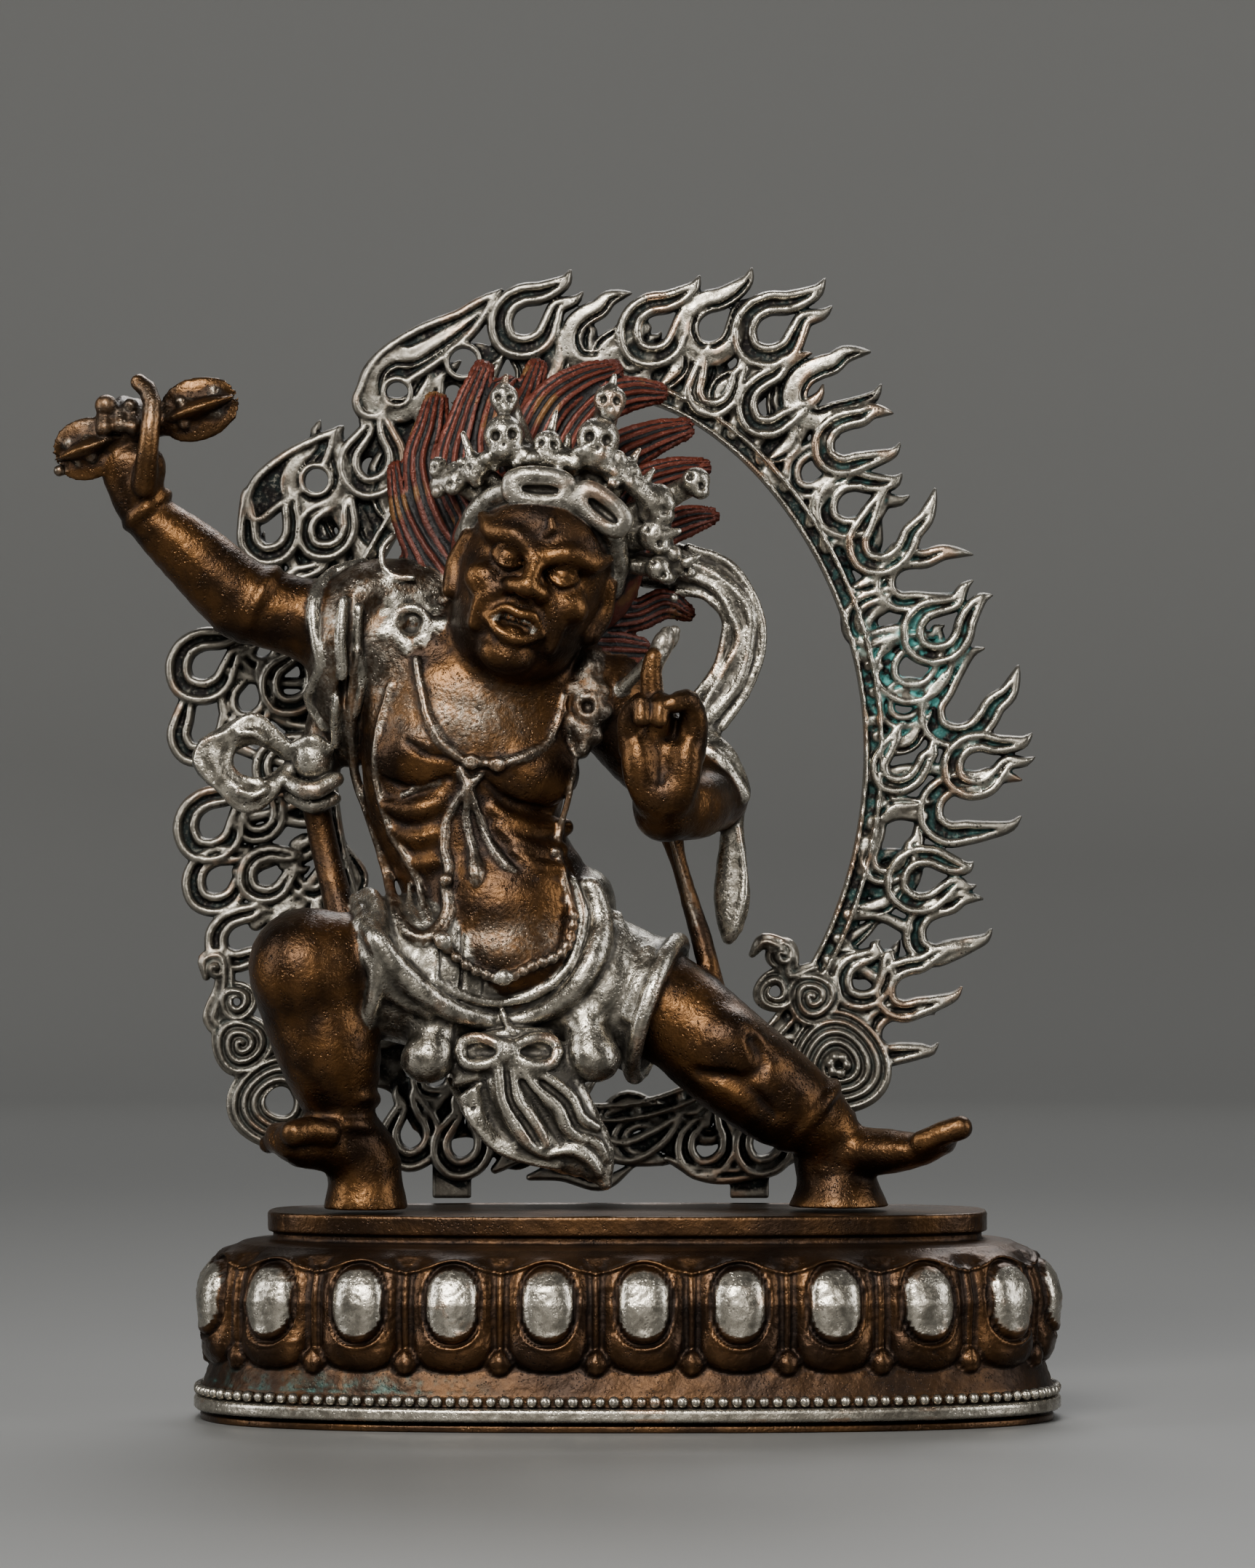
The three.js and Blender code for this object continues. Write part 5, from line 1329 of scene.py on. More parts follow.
def modelScarf(clay):
    # Cape on the left shoulder, its ends knotted in a bow; a loop by the right arm
    strand(clay, [[-23.8, 2, 58, 2.2, 3], [-24.6, 0.6, 62, 2.6, 4.2], [-24.8, -0.2, 66.6, 2.5, 4.9],
                  [-22.4, 0.2, 70.4, 2.9, 4.4], [-16.6, 1.2, 70.4, 3, 4]], washKind, 0.7, pace=1)
    for line, size in (
        ([[-22.8, 73.2], [-25.6, 72.2], [-26.8, 69.6], [-26.6, 66.6], [-26.2, 64.2], [-27.3, 61.6],
          [-26, 59.2]], 0.5),
        ([[-24.2, 69.8], [-24.4, 66.4], [-24.2, 63.2], [-24.9, 60.4], [-25, 57.6]], 0.42),
        ([[-22.9, 69.2], [-23, 66], [-22.6, 63.4], [-23.2, 60.4]], 0.36),
    ):
        layLine(clay, [[*row, size] for row in line], soft=0.35, lift=0.4)
    for spot in ((-24.1, -3.6, 62.2), (-25.6, -3, 64.8)):
        lump(clay, spot, (0.5, 0.9, 1.6), soft=0.8, cutting=True)
    strand(clay, [[-25.4, 1.6, 62, 1.8, 2], [-26.2, 1.8, 58.8, 1.6, 1.8], [-26.6, 1.4, 55.4, 1.9, 1.8]],
           washKind, 0.5)
    lump(clay, (-27, -0.2, 56.4), (1.7, 1.5, 1.9), silverKind, 0.4)
    for line in (
        [[-29.2, 0, 54.6, 0.7], [-28.2, -0.8, 53.9, 0.75], [-26.8, -1.2, 53.7, 0.8],
         [-25, -0.6, 54.6, 0.7]],
        [[-29, 0.6, 53.2, 0.6], [-27, 0.2, 52.4, 0.7], [-25.2, 0.6, 53, 0.6]],
        [[-28.6, -0.4, 57.4, 0.5], [-27, -1.3, 58, 0.55], [-25.6, -0.8, 57.2, 0.5]],
    ):
        strand(clay, line, silverKind, 0.3, pace=0.8)
    strand(clay, [
        [-28.6, 0.6, 56.6, 0.8, 1], [-30.4, 0.5, 58, 0.95, 1.3], [-32.4, 0.4, 58.9, 1.25, 1.5],
        [-34.6, 0.5, 57.9, 1.3, 1.5], [-35.7, 0.5, 56.4, 1.75, 1.6], [-34.3, 0.5, 54.3, 1.15, 1.5],
        [-32.3, 0.5, 53.3, 1.35, 1.6], [-30.4, 0.6, 54.2, 0.95, 1.3], [-28.6, 0.8, 55.8, 0.8, 1],
    ], silverKind, 0.35, pace=0.8)
    for rows in (
        [[-29.2, 57.7, 0.2], [-30.6, 59.1, 0.35], [-31.9, 60, 0.4], [-33.2, 59.6, 0.4], [-34.4, 58.6, 0.35],
         [-36.2, 57.9, 0.35], [-37, 56.4, 0.35], [-36.2, 55, 0.35], [-34.8, 53.6, 0.35], [-33.4, 52.3, 0.4],
         [-31.8, 52.2, 0.4], [-30.4, 53.4, 0.3], [-29.6, 54.8, 0.25]],
        [[-33.8, 57.4, 0.2], [-34.3, 56, 0.35], [-33.2, 54.8, 0.35], [-31.6, 54.5, 0.3]],
        [[-33.2, 53.6, 0.25], [-32, 53.2, 0.3], [-31, 53.8, 0.25]],
        [[-33.4, 58.6, 0.25], [-32, 58.6, 0.3], [-31, 57.9, 0.25]],
    ):
        layLine(clay, rows, soft=0.3, lift=0.15)
    strand(clay, [[-27, 1.8, 53.4, 1.25, 1.3], [-26.2, 1.9, 49.2, 1.2, 1.2], [-25, 1, 44.6, 1.3, 1.4],
                  [-24.2, 0.4, 42, 1.8, 1.8]], copperKind, 0.4)

    loop = [[1.6, 2.4, 73.2, 2, 1.3], [4.8, 2.5, 72.9, 2.1, 1.2], [7.7, 2.3, 71.7, 1.95, 1.1],
            [9.7, 2, 69.2, 1.8, 1.1], [10, 1.9, 66.4, 1.85, 1.1], [8.8, 1.8, 63.1, 2, 1.1],
            [6.6, 1.6, 60, 2, 1.1], [5.2, 1.6, 56.6, 1.8, 1.2]]
    strand(clay, loop, silverKind, 0.4, pace=1)
    for shift, size in ((-0.9, 0.34), (-0.3, 0.42), (0.35, 0.38), (0.88, 0.34)):
        rows = []
        for before, row, after in zip(loop[:-2], loop[1:-1], loop[2:]):
            side = unit([after[2] - before[2], before[0] - after[0]])
            wave = shift + 0.1 * math.sin(row[2] + 4 * shift)
            y = row[1] - row[4] * (0.95 - 0.3 * shift * shift)
            rows.append([row[0] + side[0] * wave * row[3], y, row[2] + side[1] * wave * row[3], size])
        strand(clay, rows, silverKind, 0.4, pace=0.8)
    strand(clay, [[5.8, 1, 58.2, 1.6, 1.4], [8, 0.6, 56, 1.7, 1.5], [9.2, 1, 53.6, 1.3, 1.4]],
           silverKind, 0.5)
    for rows in (
        [[6, -0.3, 57.8, 0.5], [7.9, -0.8, 56.4, 0.6], [9.2, -0.7, 54.6, 0.6], [10, -0.2, 53.2, 0.6]],
        [[6.9, -0.8, 54.4, 0.4], [8, -0.9, 53.8, 0.5], [9.4, -0.5, 52.7, 0.4]],
    ):
        strand(clay, rows, silverKind, 0.3, pace=0.8)
    strand(clay, [[9.3, 2.2, 53, 1.1, 1], [9.1, 2.4, 51, 0.95, 0.9], [9, 2.5, 47.6, 1.3, 1],
                  [9, 2.4, 44.4, 1.6, 1.1],
                  [8.9, 2.2, 42, 1.1, 1], [8.7, 2, 40.9, 0.5, 0.7]], silverKind, 0.3, pace=0.8)
    layLine(clay, [[9.5, 50.4, 0.2], [10, 46.8, 0.35], [9.9, 44.2, 0.4], [9.1, 41.6, 0.25]],
            soft=0.3, lift=0.2)
    strand(clay, [[2.8, 0.4, 52.4, 1.6, 1.4], [3.6, 1.4, 50.4, 1.1, 1], [4.5, 2, 47.2, 0.7, 0.8],
                  [5.5, 1.8, 43.8, 0.8], [6.4, 1, 40.8, 0.9], [7.2, 0, 37.4, 1], [7.8, -0.8, 34.6, 1.2]],
           copperKind, 0.4)
    strand(clay, [[3.6, 0.3, 50, 0.2], [4.6, 1.2, 46.6, 0.24], [5.6, 1, 43.2, 0.26], [6.6, 0.1, 40, 0.24]],
           washKind, 0.2, pace=0.8)
    strand(clay, [[-1, -3, 61.8, 0.6, 0.5], [1.4, -4.6, 64.2, 0.55, 0.5], [3.4, -5.2, 66.4, 0.9, 0.6],
                  [4, -5.4, 67.2, 0.5]], silverKind, 0.3, pace=0.8)


def modelJewels(clay):
    # Sash, necklace, knot and pendants on the chest
    layLine(clay, [
        [-23, 65.4, 0.35], [-23.5, 63, 0.42], [-23.6, 60.6, 0.45], [-23.6, 56.6, 0.42], [-23.2, 54.2, 0.42],
        [-22, 51, 0.42], [-20.8, 47.2, 0.45], [-19.7, 43.3, 0.5], [-18.6, 41.6, 0.55], [-17.2, 41, 0.6],
        [-15.9, 41.9, 0.6], [-15.2, 43.6, 0.6], [-15.4, 45.4, 0.5],
    ], washKind, soft=0.4, lift=0.2)
    layLine(clay, [
        [-20.2, 62.6, 0.25], [-21.2, 58.9, 0.34], [-21.5, 55.8, 0.32], [-21.3, 53.8, 0.32],
        [-20.1, 50, 0.34], [-18.2, 46.8, 0.36], [-17.4, 44.2, 0.34], [-16.8, 42.4, 0.32],
    ], washKind, soft=0.35, lift=0.2)
    layLine(clay, [[-18.6, 45.6, 0.2], [-18.4, 43.6, 0.25], [-17.6, 42.2, 0.2]], soft=0.2, lift=0.2)
    layLine(clay, [[-15.5, 50.6, 0.3], [-15.6, 48.6, 0.4], [-15.2, 47.2, 0.45], [-15.3, 45.6, 0.4]],
            washKind, soft=0.3, lift=0.2)
    lump(clay, (-15.4, frontOf(clay, -15.4, 46, -7) - 0.2, 46), [0.62] * 3, washKind, 0.1)
    layLine(clay, [
        [-18, 64.8, 0.36], [-17.6, 62.6, 0.38], [-17, 60, 0.4], [-16, 58, 0.42], [-14.6, 56.6, 0.45],
        [-13.4, 56.1, 0.4], [-11, 55.9, 0.4], [-9, 56.4, 0.4], [-7, 57.5, 0.36], [-5.9, 59.4, 0.3],
        [-5.4, 61.6, 0.25],
    ], washKind, soft=0.3, lift=0.25)
    for x, z in ((-13.3, 56), (-11, 55.8)):
        y = frontOf(clay, x, z, -7)
        lump(clay, (x, y + 0.15, z), (0.8, 0.45, 0.65), washKind, 0.15)
        ring(clay, (x, y - 0.2, z), (0, 1, 0), 0.42, 0.18, washKind)
    for rows in (
        [[-14.2, 55.4, 0.3], [-13.6, 54.2, 0.5], [-13.2, 52.6, 0.4]],
        [[-12.4, 55, 0.25], [-13.4, 54, 0.45], [-14.4, 52.8, 0.3], [-15.4, 51, 0.25]],
        [[-13.6, 53.6, 0.35], [-13.7, 51.2, 0.28], [-13.3, 49.2, 0.28], [-13, 47.6, 0.5],
         [-12.8, 46.6, 0.65], [-12.7, 45.7, 0.3]],
        [[-13.2, 53.2, 0.3], [-12.6, 51.4, 0.28], [-11.9, 49.6, 0.28], [-10.9, 48, 0.42],
         [-10.2, 47.2, 0.4], [-9.6, 46.8, 0.2]],
        [[-15.6, 54.4, 0.2], [-17.4, 54, 0.26], [-19.2, 53.2, 0.2]],
        [[-5.3, 60.4, 0.25], [-4.6, 57, 0.3], [-4.9, 53.4, 0.26], [-5.7, 50.6, 0.3], [-5.8, 48.2, 0.26],
         [-5.2, 45.4, 0.3], [-4.6, 43, 0.35]],
    ):
        layLine(clay, rows, washKind, soft=0.3, lift=0.2)
    lump(clay, (-6.1, frontOf(clay, -6.1, 48.4, -6), 48.4), [0.45] * 3, washKind, 0.15)
    # Brooches in lumpy silver on both shoulders
    strand(clay, [[-3.2, -1.4, 64.8, 1.3, 2.2], [-2.9, -2.6, 60.8, 1.4, 1.8], [-3.8, -4, 57, 0.6, 0.9]],
           washKind, 0.6)
    for x0, z0, wide, tall, count, kind in (
        (-18.5, 67.8, 2.9, 2.4, 16, silverKind), (-3.4, 60.8, 1.3, 3.6, 14, washKind),
    ):
        for i in range(count):
            turn = 2.4 * i
            out = math.sqrt((i + 0.5) / count)
            x, z = x0 + out * math.cos(turn) * wide, z0 + 0.3 + out * math.sin(turn) * tall
            y = max(frontOf(clay, x, z, -3.5), -7.2)
            lump(clay, (x, y + 0.45, z), (0.85, 0.65, 0.8), kind, 0.45)
        y = frontOf(clay, x0, z0, -5)
        ring(clay, (x0, y + 0.1, z0), (0.1, 1, 0), 0.38 * wide + 0.35, 0.42, kind, 0.4)
        lump(clay, (x0, y - 0.4, z0), (0.2 * wide + 0.3, 0.9, 0.2 * wide + 0.3), soft=0.2, cutting=True)
    strand(clay, [
        [-20.1, -2.6, 75.4, 0.32], [-20.9, -3, 74.4, 0.32], [-20.9, -3.2, 72.9, 0.3],
        [-19.8, -3.4, 71.9, 0.3], [-18.3, -3.6, 71.8, 0.3],
    ], silverKind, 0.15, pace=0.5)
    strand(clay, [[-19.6, -3.4, 71.9, 0.3], [-20.8, -3.4, 71.3, 0.32], [-20.9, -3.2, 70.2, 0.32]],
           silverKind, 0.15, pace=0.5)


def modelHead(clay):
    # A wrathful guardian's face: knit brows over round eyes, a broad nose and bared teeth.
    strand(clay, [[-10.8, -1.6, 64, 4.8, 4.4], [-9.4, -2.4, 68, 5, 4.6]], soft=1)
    headLump(clay, (0, 0, 0.4), (6.4, 6.2, 8.6), soft=0.8)
    headLump(clay, (0, -0.8, -4), (5.4, 5.2, 5.1), soft=1.2)
    headLump(clay, (0, -4.6, 3.6), (4.8, 1.7, 2.6), soft=1)
    for side in (-1, 1):
        headLump(clay, (side * 2.5, -6, 1.0), (1.75, 1.2, 1.1), soft=0.7, cutting=True)
        headStrand(clay, [
            [side * 0.7, -6.3, 1.9, 0.75], [side * 2.4, -6, 2.8, 1], [side * 4.4, -4.9, 2.7, 0.9],
            [side * 5.6, -3.6, 3.6, 0.5],
        ], soft=0.8)
        for i in range(4):
            headStrand(clay, [[side * (1.6 + 0.9 * i), -6.5 + 0.3 * i, 2.7, 0.26],
                              [side * (2.2 + 1.05 * i), -6.1 + 0.45 * i, 3.7 - 0.1 * i, 0.16]], soft=0.15)
        headLump(clay, (side * 2.5, -5.2, 0.95), (1.3, 1.15, 1.0), soft=0.15)
        for height, size in ((0.95, 0.3), (-0.75, 0.26)):
            lid = []
            for t in (0, 0.25, 0.5, 0.75, 1):
                arch = math.sin(math.pi * t)
                spot = [side * (1.1 + 2.8 * t), -5.75 + 0.35 * t * t - 0.55 * arch,
                        0.75 + 0.3 * t + height * arch]
                lid.append([*spot, size * (0.5 + 0.5 * arch)])
            headStrand(clay, lid, soft=0.12)
        headLump(clay, (side * 3.6, -4.7, -1.4), (1.9, 1.5, 1.6), soft=0.7)
        headLump(clay, (side * 1.15, -6.7, -1.15), (0.85, 0.95, 0.75), soft=0.35)
        headLump(clay, (side * 0.75, -7.2, -1.75), (0.34, 0.5, 0.3), soft=0.12, cutting=True)
        headStrand(clay, [[side * 1.7, -6, -1.5, 0.5], [side * 3.3, -5.4, -3.2, 0.7],
                          [side * 3.4, -5, -5.2, 0.5]], soft=0.8)
        headStrand(clay, [[side * 6.3, -1, 1.6, 0.7], [side * 6.7, -0.6, -0.6, 0.8],
                          [side * 6.2, -1, -3, 0.9]], soft=0.4)
    headStrand(clay, [[0, -6, 2.2, 0.7], [0, -6.9, 0.6, 0.75], [0, -7.4, -0.8, 0.9]], soft=0.6)
    headLump(clay, (0, -7.3, -1.05), (1.0, 0.95, 0.85), soft=0.4)
    headStrand(clay, [[0, -6.2, 5.1, 0.3], [0.35, -6.25, 4.4, 0.4], [0, -6.3, 3.7, 0.25]], soft=0.2)
    # Mouth
    headLump(clay, (0, -5.4, -4), (3, 1.4, 1.9), soft=0.6)
    headLump(clay, (0, -7, -4.1), (2.1, 1.2, 0.95), soft=0.25, cutting=True)
    headStrand(clay, [[-2.4, -5.9, -4.4, 0.35], [-1.2, -6.7, -3.15, 0.42], [0, -6.9, -3.3, 0.42],
                      [1.2, -6.7, -3.15, 0.42], [2.4, -5.9, -4.4, 0.35]], soft=0.2)
    headStrand(clay, [[-2.4, -5.9, -4.4, 0.35], [-1.2, -6.5, -5.2, 0.48], [0, -6.6, -5.4, 0.5],
                      [1.2, -6.5, -5.2, 0.48], [2.4, -5.9, -4.4, 0.35]], soft=0.2)
    for i in range(6):
        headLump(clay, (0.5 * (i - 2.5), -6.15, -3.7), (0.24, 0.4, 0.4), silverKind, soft=0.08)
    for side in (-1, 1):
        headLump(clay, (side * 1.65, -6.25, -4), (0.26, 0.36, 0.75), silverKind, soft=0.08)
    headLump(clay, (0, -6, -4.8), (0.9, 0.9, 0.4), soft=0.15)
    headLump(clay, (0, -5, -7), (2.3, 1.7, 1.5), soft=0.9)


def modelHair(clay):
    # Locks blown up from the brow like tongues of fire
    headLump(clay, (0.4, 3.2, 2.6), (8.4, 4.6, 8), hairKind, soft=0.6)
    locks = [
        [[-14.4, 70.6, 2.2], [-17.2, 74.4, 2.1], [-19, 78, 1.6], [-19.7, 81.4, 1.15]],
        [[-13.6, 73, 2.2], [-16.2, 77, 2.4], [-17.6, 81.6, 1.9], [-16.9, 85, 1.6], [-16.5, 87.3, 1.2]],
        [[-12.6, 76, 2], [-14.8, 81, 2], [-13.9, 86, 1.5], [-12.4, 90, 1.1]],
        [[-10.6, 79, 2], [-11.6, 83, 2.2], [-11, 87, 1.9], [-10.2, 88.4, 1.4]],
        [[-8.6, 80, 2], [-9.4, 84.6, 2], [-8.5, 88, 1.4], [-7.8, 90.3, 1.05]],
        [[-7.6, 79, 2], [-8.4, 83, 2], [-6.6, 87, 1.9], [-3.8, 89.1, 1.5], [-1.2, 90, 1.05]],
        [[-5, 78, 2], [-4.9, 83, 2], [-2.6, 86.6, 1.8], [0.3, 87.9, 1.6], [2.7, 88, 1.1]],
        [[-2.4, 77, 2], [-1.2, 82, 2.1], [2, 84, 1.7], [5, 85, 1.1]],
        [[-1, 76, 2], [1, 79.8, 1.6], [3.8, 81.1, 1.4], [6.6, 81.6, 0.9]],
        [[-1, 73, 2], [2.2, 75.6, 1.7], [5, 76.9, 1.5], [7.3, 77.4, 0.9]],
        [[-2.6, 68.6, 1.8], [0.8, 68.8, 1.5], [3.2, 69.8, 1.4], [5.2, 69, 0.9]],
        [[-3.6, 65.8, 1.6], [-1, 65.8, 1.7], [1, 65.7, 1.4]],
        [[-14.6, 68.8, 1.6], [-17, 71.4, 1.7], [-18.4, 74, 1.3]],
    ]
    for i, line in enumerate(locks):
        last = len(line) - 1
        rows = []
        for j, (x, z, w) in enumerate(line):
            rows.append([x, -0.6 + 2.4 * j / last + 0.7 * math.sin(2.1 * i), z, w, 0.85 * w])
        strand(clay, rows, hairKind, 0.15, pace=0.8, ridges=11, depth=0.42)
    # Twists of hair at the back of the head
    for i in range(9):
        x = -14.4 + 1.7 * i
        strand(clay, [
            [x, 3.6, 64.6 + abs(i - 4) * 0.9, 1.1], [x + 0.3, 5.1, 70, 1.4], [x + 0.6, 5.1, 76, 1.5],
            [x + 1 + 0.2 * i, 3.6, 82 - 0.3 * (i - 4) ** 2, 0.9],
        ], hairKind, 0.15, pace=0.8, ridges=9, depth=0.35)


def skull(clay, x, y, z, size, lean=0.0):
    lump(clay, (x, y, z), (size, 0.85 * size, size), silverKind, 0.3, turn=lean)
    lump(clay, (x + 0.5 * lean, y - 0.2 * size, z - 0.75 * size), (0.62 * size, 0.62 * size, 0.5 * size),
         silverKind, 0.3)
    for side in (-1, 1):
        place = (x + side * 0.42 * size, y - 0.85 * size, z - 0.02 * size - side * 0.4 * lean * size)
        lump(clay, place, (0.27 * size, 0.5 * size, 0.3 * size), soft=0.08, cutting=True)
    lump(clay, (x, y - 0.95 * size, z - 0.48 * size), (0.12 * size, 0.3 * size, 0.18 * size), soft=0.05,
         cutting=True)


def modelCrown(clay):
    headStrand(clay, [
        [-6.8, 0.4, 1.6, 0.8, 0.9], [-6.3, -1.2, 4.2, 0.9, 0.9], [-4.4, -3, 6.2, 1, 0.9],
        [-1, -4.2, 7.2, 1.1, 0.9],
        [2.4, -4, 7, 1.1, 0.9], [5, -2.6, 5.8, 1, 0.9], [6.4, -1, 4, 0.9, 0.9], [6.8, 0.4, 1.6, 0.8, 0.9],
    ], silverKind, soft=0.4)
    for x, z, wide, tall, turn in ((-7.5, 79.2, 3.2, 1.85, 0.06), (-2.2, 77.4, 3.0, 1.7, 0.68)):
        lump(clay, (x, -8.6, z), (wide, 0.95, tall), silverKind, 0.25, turn=turn, power=2.7)
        lump(clay, (x, -9.9, z), (wide - 0.75, 0.75, tall - 0.7), silverKind, 0.25, turn=turn,
             cutting=True, power=2.4)
        lump(clay, (x + 0.1, -9.2, z - 0.15), (1.6, 1.1, 0.4), soft=0.15, turn=turn, cutting=True,
             power=2.4)
    for x, z, size, lean in (
        (-10.5, 83.8, 1.75, -0.1), (-10.5, 87, 1.25, 0.1), (-2.5, 83.5, 1.85, 0.2),
        (-1.5, 86.8, 1.4, 0.1), (-6.8, 83, 1.25, 0.1), (-0.2, 80.8, 1.2, 0.5), (2.5, 78.2, 1.6, 1.1),
        (5.8, 80, 1.25, 0.8), (2.2, 75.3, 1.3, 1.2), (-12.9, 81.2, 1.15, -0.3), (-14.7, 79.9, 0.95, -0.5),
        (-16.1, 81.3, 0.8, -0.6), (2.6, 72.5, 1.05, 1.4), (4.6, 72.9, 0.95, 1.5),
    ):
        y = -6.6 + 0.016 * (x + 6) ** 2 + (0.6 if z > 85 else 0)
        strand(clay, [
            [x, y + 0.8, z, 0.75 * size], [x - 0.4 * (x + 5), y + 2, z - 0.4 * (z - 74), 0.8 * size],
        ], silverKind, 0.5)
        skull(clay, x, y, z, size, lean)
    for x, z, tipX, tipZ in (
        (-6.6, 83.8, -6.1, 85.8), (0.2, 81.4, 1, 82.6), (-13.3, 82, -14, 84), (-10.6, 87.8, -10.3, 88.9),
        (-1.4, 87.6, -1.1, 88.9), (3.2, 75.4, 4.4, 75.7), (5, 73, 6.1, 73.6), (-5.2, 82.6, -5, 83.8),
        (-8.4, 82.2, -8.6, 83.4), (1.4, 79.8, 2.2, 80.9),
    ):
        strand(clay, [[x, -5.9, z, 0.5], [tipX, -5.8, tipZ, 0.26]], silverKind, 0.25)
    arch = smoothRows(np.array([
        [-16, -4.4, 79.6], [-13, -5.6, 81], [-10.2, -6.2, 82.2], [-6.6, -6.6, 81.6], [-3, -6.6, 81.6],
        [0.4, -6.2, 79.8], [2.6, -5.6, 77], [3.6, -4.8, 73.6], [3, -4, 70.6],
    ]), 0.42)
    strand(clay, [[*spot, 0.9, 0.9] for spot in arch[::4]], silverKind, 0.4)
    for i, spot in enumerate(arch):
        way = [math.sin(2.4 * i), 0.5 * math.sin(5.1 * i) - 0.2, math.cos(1.7 * i)]
        size = 0.52 + 0.16 * math.sin(3.3 * i)
        lump(clay, spot + 0.95 * np.array(way), [size, size, size], silverKind, 0.22)


def makeFigure():
    clay = startClay([-50.4, -13, 16.5], [30.5, 8.2, 91.8], figure["cell"])
    modelHair(clay)
    modelTorso(clay)
    modelArms(clay)
    modelLegs(clay)
    modelSkirt(clay)
    modelScarf(clay)
    modelHead(clay)
    modelJewels(clay)
    modelCrown(clay)
    modelSceptre(clay)
    where, (x, y, z) = openAll(clay)
    clay["field"] += figure["unevenness"] * (0.6 * ripple(x, y, z, 3.7) + 0.4 * ripple(y, z, x, 1.3))
    floor = np.broadcast_to(z - figure["floor"], clay["field"].shape)
    carve(clay, where, floor, 0.05)
    piece = fireClay("cast_figure", clay, castMetal, figure["triangles"])
    x, y, z = pointsOf(piece.data).T
    paintPoints(piece.data, "green", np.zeros(len(x)))
    # The silver wash has strayed over the chest, the left shoulder, the belly and the sceptre
    washed = 0.26 * softSpot(x, z, -13.5, 60, 6, 3.4) + 0.36 * softSpot(x, z, -22, 65, 3, 5)
    washed += 0.2 * softSpot(x, z, -9, 41, 9, 2.6)
    washed += 0.2 * softSpot(x, z, -43, 86, 7, 4)
    layer = piece.data.attributes["silver"]
    silver = np.empty(len(x), np.float32)
    layer.data.foreach_get("value", silver)
    layer.data.foreach_set("value", np.maximum(silver, washed).astype(np.float32))
    # Soot lies in the hair beside the face, below the left bow, round the right brooch, in the
    # headband, under the sceptre and on the thin ribbon below the right elbow
    sootAndShade = 0.85 * softSpot(x, z, -17, 76, 3.4, 4.2) + 0.7 * softSpot(x, z, 1.5, 67.5, 4, 3)
    sootAndShade += 0.8 * softSpot(x, z, -26, 48, 1.9, 4.6)
    sootAndShade += 0.55 * softSpot(x, z, -2.6, 60.5, 2.6, 4.6)
    sootAndShade += 0.6 * softSpot(x, z, -5, 77.6, 6.5, 3.2, 4) * smoothStep(-7.4, -8, y)
    under = smoothStep(0, -0.8, x + 0.35 * z + 12)
    sootAndShade += 0.45 * smoothStep(-37, -39.5, x) * smoothStep(81.5, 83.5, z) * under
    ribbon = np.exp(-(((x - 18.5 + 0.297 * z) / 1.4) ** 2))
    sootAndShade += 0.75 * ribbon * smoothStep(51, 48, z) * smoothStep(39, 41, z)
    paintPoints(piece.data, "sootAndShade", np.clip(sootAndShade, 0, 1))
    return piece


figurePiece = makeFigure()
print("figure made")


# Each piece rides its node, and takes the place of the plain one

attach(plinthPiece, "root")
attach(sheetPiece, "root")
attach(beadPiece, "root")
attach(haloPiece, "root")
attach(figurePiece, "root")
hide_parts("plinth")
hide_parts("base_sheet")
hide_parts("flame_halo")
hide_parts("figure")


# Stage, camera and light

studio = {
    "floor": (0.086, 0.087, 0.085),
    "wall": (0.36, 0.362, 0.354),
    "paleFrom": 0.35,
    "wallAt": 1.12,
    "wallHeight": 1.0,
    "bend": 0.4,
    "sides": 72,
    "room": (0.035, 0.036, 0.038),
    "lens": 146.94,
    "cameraAt": (0.0, -0.550, 0.048),
    "cameraRise": 0.65,
    "lampGoal": (0, 0, 0.05),
    "warm": (1, 0.97, 0.92),
    "white": (1, 1, 1),
}

# [name, place, width, height, watts, tint]
lamps = [
    ["key", (-0.12, -0.42, 0.34), 0.22, 0.16, 5.2, "warm"],
    ["front", (0.08, -0.62, 0.17), 0.34, 0.2, 0.8, "warm"],
    ["leftFill", (-0.5, -0.12, 0.23), 0.12, 0.4, 1.8, "white"],
    ["rightFill", (0.5, -0.16, 0.23), 0.16, 0.4, 1.8, "white"],
    ["rim", (0.1, 0.45, 0.5), 0.5, 0.2, 3.2, "white"],
]


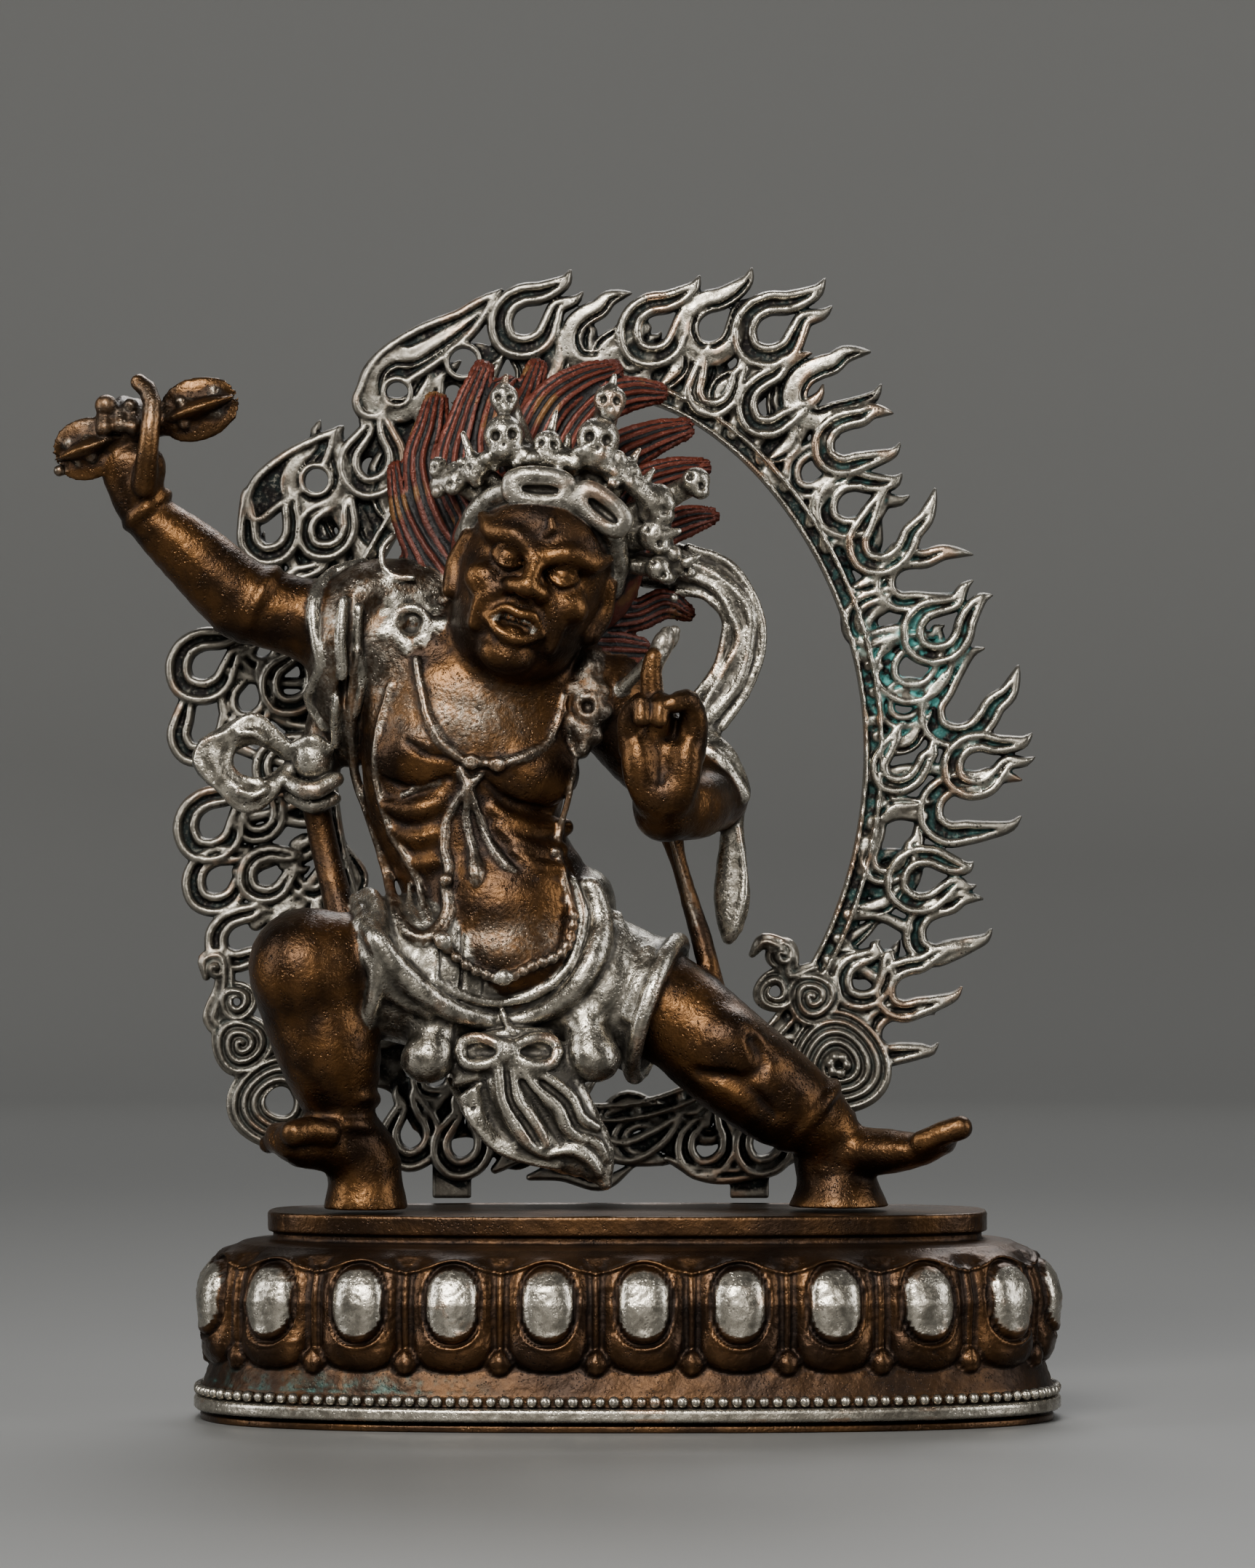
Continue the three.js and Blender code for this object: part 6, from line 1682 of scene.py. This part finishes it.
def makeStage():
    # A round floor that curves up into a wall all round, dark under the lamps and painted paler towards the
    # wall, painted light that stands in for the lamps' light falling off there
    finish = bpy.data.materials.new("studioFloor")
    finish.use_nodes = True
    tree = finish.node_tree
    shader = tree.nodes["Principled BSDF"]
    shader.inputs["Roughness"].default_value = 0.5
    place = addNode(tree, "ShaderNodeTexCoord").outputs["Object"]
    far = addNode(tree, "ShaderNodeVectorMath", {0: place}, operation="LENGTH").outputs["Value"]
    # Paler towards the wall: painted light for the lamps' falloff.
    paintedWallLight = ramp(tree, far, studio["paleFrom"], studio["wallAt"])
    colour = mixColour(tree, paintedWallLight, studio["floor"], studio["wall"])
    tree.links.new(colour, shader.inputs["Base Color"])
    bend, sides, count = studio["bend"], studio["sides"], 16
    flat = studio["wallAt"] - bend
    # [distance from the middle, height]
    profile = [[0.3 * flat, 0], [flat, 0]]
    for i in range(1, count + 1):
        turn = 0.5 * math.pi * i / count
        profile.append([flat + bend * math.sin(turn), bend * (1 - math.cos(turn))])
    profile.append([studio["wallAt"], studio["wallHeight"]])
    points = [[0, 0, 0]]
    for i in range(sides):
        turn = 2 * math.pi * i / sides
        points += [[r * math.cos(turn) / mm, r * math.sin(turn) / mm, z / mm] for r, z in profile]
    n = len(profile)
    faces = []
    for i in range(sides):
        a, b, c = [1 + k % sides * n for k in (i, i + 1, i + 2)]
        if i % 2 == 0:
            faces.append([0, a, b, c])
        faces += [[a + j, a + j + 1, b + j + 1, b + j] for j in range(n - 1)]
    mesh = makeMesh("studioFloor", points, np.array(faces))
    floor = addObject("studioFloor", mesh, finish)


def addLamp(name, place, wide, tall, power, tint):
    lamp = bpy.data.lights.new(name, "AREA")
    lamp.shape = "RECTANGLE"
    lamp.size, lamp.size_y = wide, tall
    lamp.energy = power
    lamp.color = studio[tint]
    holder = bpy.data.objects.new(name, lamp)
    holder.location = place
    way = Vector(studio["lampGoal"]) - Vector(place)
    holder.rotation_euler = way.to_track_quat("-Z", "Y").to_euler()
    bpy.context.scene.collection.objects.link(holder)


def makeCamera():
    view = bpy.data.cameras.new("camera")
    view.lens = studio["lens"]
    view.sensor_width = 36
    view.clip_start, view.clip_end = 0.01, 10
    holder = bpy.data.objects.new("camera", view)
    holder.location = studio["cameraAt"]
    holder.rotation_euler = (math.radians(90 + studio["cameraRise"]), 0, 0)
    bpy.context.scene.collection.objects.link(holder)
    bpy.context.scene.camera = holder


makeStage()
makeCamera()
for row in lamps:
    addLamp(*row)

room = bpy.data.worlds.new("room")
room.use_nodes = True
room.node_tree.nodes["Background"].inputs["Color"].default_value = (*studio["room"], 1)
bpy.context.scene.world = room
print("stage made")
